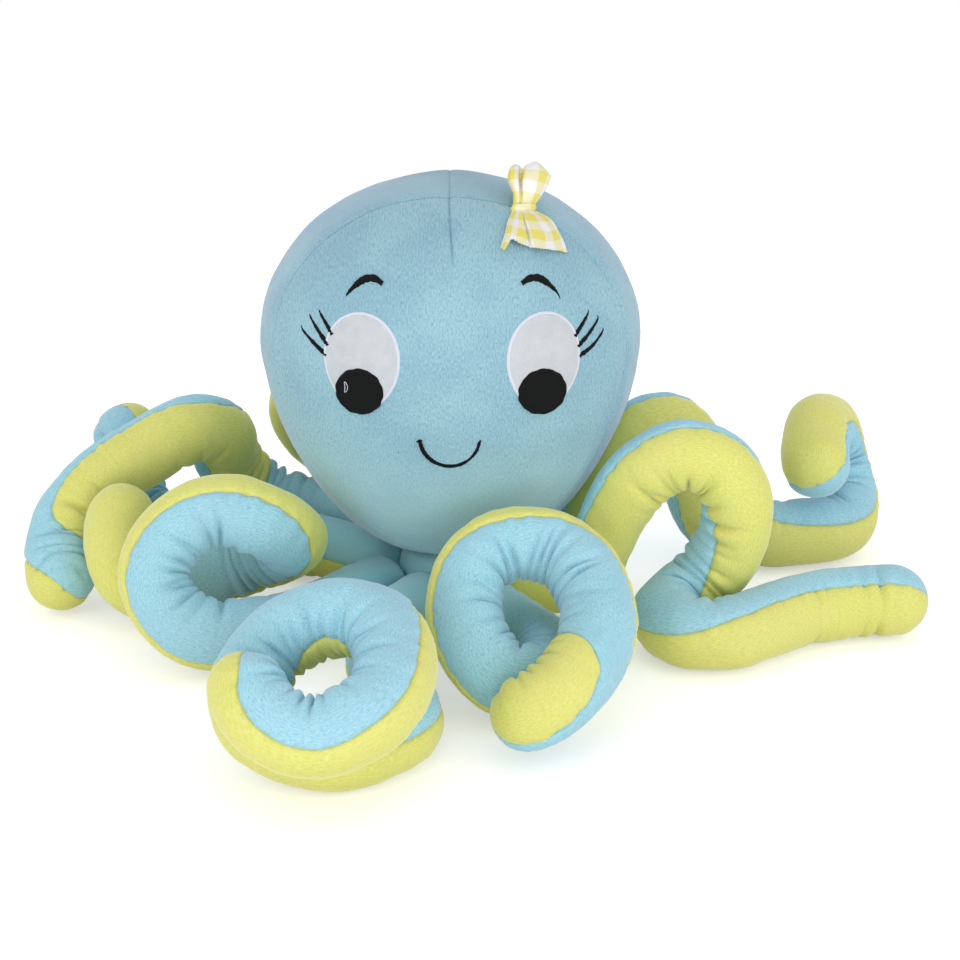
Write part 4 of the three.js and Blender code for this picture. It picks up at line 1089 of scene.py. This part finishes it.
# %% Eyes
EYES = {
    "left": ((-59.2, 155.0), (53.5, 67.0), (-60.7, 134.2)),
    "right": ((65.0, 155.0), (51.0, 67.0), (63.8, 133.9)),
}
PUPIL, BORDER = 33.0, 2.8
GLINT_PLACE, GLINT_HALF, GLINT_BOWED = (-8.4, 2.8), (0.95, 3.7), 0.9
round_once = np.linspace(0, 2 * np.pi, 480, endpoint=False)
wavy = 0.35 * np.sin(round_once * 9 + 1.0) + 0.3 * np.sin(round_once * 14 + 4.0)
for side_name, (centre, size, pupil) in EYES.items():
    inner = (size[0] - BORDER, size[1] - BORDER)
    patch(f"eye_patch_{side_name}_felt", centre, inner, -0.6, 1.2, "white_felt",
          f"eye_patch_{side_name}")
    border = np.stack(egg(*centre, *inner, round_once), -1)
    stitched(f"eye_border_{side_name}_satin", border, BORDER / 2, -0.5, 1.9, "white_thread",
             f"eye_border_{side_name}", True)
    patch(f"pupil_{side_name}_satin", pupil, (PUPIL - 4, PUPIL - 4), 0.9, 2.3, "black_thread",
          f"pupil_{side_name}", 0.0, 0.25)
    rim = np.stack(egg(*pupil, PUPIL - 3.2 + wavy, PUPIL - 3.6 + wavy, round_once, 0.0), -1)
    stitched(f"pupil_edge_{side_name}_satin", rim, 1.7, 0.7, 3.0, "black_thread", closed=True)

x, level = np.add(EYES["left"][2], GLINT_PLACE)
round_glint = np.linspace(0, 2 * np.pi, 60, endpoint=False)
bowed = GLINT_HALF[0] * np.cos(round_glint) - GLINT_BOWED * np.sin(round_glint) ** 2
glint = np.stack([x + bowed, level + GLINT_HALF[1] * np.sin(round_glint)], -1)
stitched("pupil_glint_left_thread", glint, 0.22, 2.3, 2.9, "white_thread", closed=True)
print("eyes with borders and pupils, and a glint in the left one")

# %% [markdown]
# Brows, lashes and mouth are satin lines of varying width. A brow starts thin at its outer end and
# is round at its inner one, a lash is thick at the eye and runs out in a fine hook, and the mouth
# keeps its width between two short cross strokes.

# %% Brows, lashes and mouth
THREAD_STEP = 0.9


def smooth_line(places, count):
    curve, _ = curve_through(places)
    far = lengths(curve)
    at = np.linspace(0, far[-1], count)
    return np.stack([np.interp(at, far, column) for column in curve.T], -1), at / far[-1]


def serrated(shares, halves, length, depth, seed):
    """Uneven stitch ends: each thread reaches a little less or more than the next one."""
    chance = np.random.default_rng(seed)
    threads = chance.uniform(-1, 1, int(length / THREAD_STEP) + 2)
    reached = np.interp(shares * length / THREAD_STEP, np.arange(len(threads)), threads)
    return halves * (1 + depth * reached)


def satin_line(name, places, count, widths, uneven, high, node):
    """A black line. widths: shares of its length, half widths. uneven: length, depth, seed."""
    line, shares = smooth_line(places, count)
    halves = serrated(shares, np.interp(shares, *widths), *uneven)
    stitched(name, line, halves, -0.5, high, "black_thread", node)


BROWS = {
    "left": [(-72.6, 193.6), (-69.4, 199), (-64, 204.8), (-57, 209.6), (-50.4, 210.3),
             (-45, 207.4)],
    "right": [(76.8, 195.4), (74.6, 199.5), (69.8, 204.4), (62.2, 209.6), (55.6, 210),
              (50, 207.2)],
}
BROW_WIDTHS = (np.linspace(0, 1, 6), [0.3, 0.9, 1.75, 2.3, 2.35, 1.6])
for side_name, places in BROWS.items():
    satin_line(f"brow_{side_name}_satin", places, 220, BROW_WIDTHS, (40, 0.16, 31), 1.5,
               f"brow_{side_name}")

LASHES = {
    "left": [[(-79.3, 171.5), (-83.6, 177.6), (-89.6, 187.2), (-89.4, 189.4)],
             [(-82.4, 164), (-88.6, 171.4), (-96.2, 182.6), (-95.8, 184.8)],
             [(-83.8, 157), (-92.4, 163.6), (-102.4, 173.4), (-101.8, 175.4)]],
    "right": [[(86.2, 169.6), (91.4, 176.2), (96.4, 184.2), (96.2, 186.4)],
              [(88.4, 162.4), (96.2, 169.6), (103.6, 179.2), (103, 181.2)],
              [(89.6, 155.6), (98.6, 161), (107.2, 170.6), (106.8, 172.4)]],
}
LASH_WIDTHS = ([0, 0.3, 0.6, 0.86, 1], [1.7, 1.55, 1.2, 0.8, 0.3])
for side_name, lines in LASHES.items():
    for k, places in enumerate(lines):
        satin_line(f"lash_{side_name}_{k + 1}_satin", places, 120, LASH_WIDTHS,
                   (20, 0.16, 41 + k), 2.2, f"lash_{side_name}_{k + 1}")

MOUTH = [(-20, 99.5), (-17.5, 92), (-12, 85.5), (-5, 82), (0.8, 81.2), (7, 82.2), (14, 86.5),
         (19, 93), (21.3, 100)]
MOUTH_WIDTHS = ([0, 0.04, 0.96, 1], [1.2, 1.4, 1.4, 1.2])
satin_line("mouth_satin", MOUTH, 300, MOUTH_WIDTHS, (60, 0.12, 51), 1.4, "mouth")
MOUTH_ENDS = {
    "left": [(-22.3, 99.0), (-20, 100.2), (-18.2, 100.4)],
    "right": [(19.6, 100.8), (21.4, 100.6), (23.4, 99.2)],
}
for side_name, places in MOUTH_ENDS.items():
    line, shares = smooth_line(places, 40)
    halves = np.interp(shares, [0, 0.5, 1], [0.3, 1.0, 0.3])
    stitched(f"mouth_end_{side_name}_satin", line, halves, -0.4, 1.3, "black_thread")
print("brows, lashes and mouth done")

# %% [markdown]
# The bow is cut from gingham, gathered in the middle and tacked to the head. Above its knot the
# cloth is folded back on itself, with one deep pleat and open sides. Below it a flared end lies
# over the head, with a rolled left edge, a crease, and a lower edge cut in small teeth. Each is a
# net of places, right, up and near as seen from the photograph's side, in mm from the knot. Both
# are cut narrower towards the knot, so the area of the cut is less than its width times length.

# %% Bow
KNOT_PLACE = np.array([52.0, -29.0, 314.0])
CLOTH = 0.8 * MM
LOOP_GRID, FLARED_GRID, KNOT_GRID = (120, 90), (80, 160), (120, 28)
TOOTH_STEP, TOOTH = 2.6, 0.5
KNOT_WIDE, KNOT_NEAR, KNOT_TURNED, KNOT_LEVEL, KNOT_BAND = 8.0, 5.2, 4.6, -3.2, 3.0
LOOP_FRONT = [
    [(-7.5, -2.5, 3), (-5.5, -2.5, 4.5), (-3.5, -2.5, 4.5), (-2.5, -2.5, 3.4), (-1.5, -2.5, 3.6),
     (2.5, -2.5, 1), (6.5, -2.5, -4)],
    [(-7.5, 7, 1), (-6, 6.5, 5), (-3.5, 5.5, 5.4), (-2, 5.5, 3.4), (-0.6, 5, 5.4), (6, 4.5, 4),
     (12.5, 6, -5)],
    [(-11, 16.5, -3), (-8.5, 16.5, 3), (-4, 15.5, 2.6), (-2, 15, -2.5), (0, 15.5, 4),
     (8.5, 14, 3), (17, 13.5, -7)],
    [(-10.5, 23.5, -8), (-8, 24, -2), (-4.2, 24, -3), (-1.5, 24, -9.5), (1.6, 23.5, -0.5),
     (10, 24, -1), (19.5, 20, -9)],
    [(-8.5, 28, -13), (-6, 29, -10), (-3.4, 28.5, -10), (-1, 26.5, -15.5), (2.6, 28.5, -8),
     (9, 30.5, -8), (20, 21, -12)],
]
LOOP_BACK = [
    [(-9.5, 24, -15), (-7, 25, -15), (-2, 25, -17), (-1, 24.5, -20), (1, 25, -17), (9, 26, -16),
     (18.5, 19.5, -16)],
    [(-10, 16, -13), (-7, 16, -14), (-2, 16, -15), (-1, 16, -16), (1, 15, -15), (8, 14, -15),
     (16, 13, -15)],
    [(-7, 6.5, -6), (-5, 6.5, -7), (-2, 5.5, -8), (-1, 5.5, -8.5), (0, 5, -9), (5, 4.5, -11),
     (11.5, 5.5, -13)],
    [(-7, -2.5, 1.5), (-5, -2.5, 1), (-3, -2.5, 0.5), (-2.5, -2.5, 0), (-1.5, -2.5, -0.5),
     (2, -2.5, -2.5), (6, -2.5, -6)],
]
FLARED_END = [
    [(-7, -4, 4), (-6, -5, 5.5), (-4, -5, 6), (-2, -5, 5), (-1, -5.5, 3), (0, -5, 4.5),
     (3.5, -5.5, 3), (7.5, -5, -2)],
    [(-11, -14.5, 16.5), (-9.5, -15, 20), (-6, -14.5, 18), (-1.5, -14.5, 16), (1, -14.5, 11),
     (2, -14, 14.5), (10, -13, 9.5), (18, -10, -5)],
    [(-13, -24.5, 26.5), (-11, -25, 31), (-8, -23, 27.5), (-1.5, -24.5, 26), (3, -24.5, 19.5),
     (5, -24.5, 23.5), (15, -24, 17), (24.5, -20.5, 2)],
    [(-16, -34, 34.5), (-13.5, -35.5, 39.5), (-9, -28, 31.5), (-2.5, -31, 31.5), (4, -32.5, 26),
     (6.5, -33.5, 29.5), (15.5, -34, 24.5), (30, -35, 10.5)],
]


def from_viewer(places):
    """Places right, up and near of the knot, in the toy's frame and in mm."""
    right, up, near = (part[..., None] for part in np.moveaxis(np.asarray(places, float), -1, 0))
    upward = np.array([0, np.sin(VIEW_RISE), np.cos(VIEW_RISE)])
    towards = np.array([0, -np.cos(VIEW_RISE), np.sin(VIEW_RISE)])
    return KNOT_PLACE + right * [1, 0, 0] + up * upward + near * towards


def spread(places, count):
    curve, counts = curve_through(places)
    at = np.linspace(0, len(places) - 1, count)
    return np.stack([np.interp(at, counts, column) for column in curve.T], -1)


def sheet_of(net, long, wide):
    """A smooth grid of points through a net of places."""
    rows = np.stack([spread(row, wide) for row in net])
    return np.stack([spread(column, long) for column in rows.transpose(1, 0, 2)], 1)


def gathered(name, node, net, grid, widest, start, teeth=False):
    """A piece of the bow. The checks keep the cloth's width at its widest row, as cloth does."""
    long, wide = grid
    places = sheet_of(net, long, wide)
    along = np.stack([lengths(places[:, j]) for j in range(wide)], 1)
    across = lengths(places[widest])
    if teeth:
        wave = np.abs((across / TOOTH_STEP) % 1 - 0.5) * 4 - 1
        way = unit(places[-1] - places[-3])
        places[-1] += way * (TOOTH * wave)[:, None]
        places[-2] += way * (TOOTH * 0.4 * wave)[:, None]
    points = from_viewer(places).reshape(-1, 3)
    points = points + 0.12 * lumps(points, 6, 71)[:, None]
    cloth = np.stack([along + start[0], np.broadcast_to(across, along.shape) + start[1]], -1)
    made = piece(name, points * MM, [ring_faces(long, wide, closed=False)], check_cloth,
                 cloth.reshape(-1, 2) * MM, False)
    flat = (float(across[-1]) * MM, float(along[-1].mean()) * MM)
    cut = min(sum(face.area for face in made.data.polygons), flat[0] * flat[1])
    backed(made, CLOTH)
    belongs(made, node, "bow")
    return made, flat, cut


loop, loop_flat, loop_cut = gathered(
    "bow_upper_cloth", "bow_upper_loop", LOOP_FRONT + LOOP_BACK, LOOP_GRID, 52, (-2.0, 2.0))
flared, flared_flat, flared_cut = gathered(
    "bow_lower_cloth", "bow_lower_loop", FLARED_END, FLARED_GRID, -1, (-4.5, -3.0), True)
turns = np.linspace(0, 2 * np.pi, KNOT_GRID[0], endpoint=False)
rims = np.linspace(0, 2 * np.pi, KNOT_GRID[1], endpoint=False)
cosines, sines = np.cos(turns), np.sin(turns)
wrap = np.stack([
    KNOT_WIDE * cosines, KNOT_LEVEL + 0.9 * cosines,
    KNOT_NEAR * sines - KNOT_TURNED * cosines], -1)
outward = unit(np.stack([cosines, 0 * turns, sines], -1))
thick = 0.9 + 0.3 * np.cos(rims[None] * 5 + 2 * np.sin(turns * 2)[:, None])
band = wrap[:, None] + outward[:, None] * (thick * np.cos(rims))[..., None]
band = band + (KNOT_BAND * np.sin(rims))[None, :, None] * np.array([0.12, 1, 0])
round_way = (turns * 7 + 2)[:, None]
cloth = np.stack(np.broadcast_arrays(5.0 + KNOT_BAND * np.sin(rims), round_way), -1).reshape(-1, 2)
knot = piece("bow_knot_cloth", from_viewer(band).reshape(-1, 3) * MM,
             [looped_faces(*KNOT_GRID)], check_cloth, cloth * MM)
belongs(knot, "bow_knot", "bow")
print("bow cloth", [round(v / MM) for v in (*loop_flat, *flared_flat)], "mm")
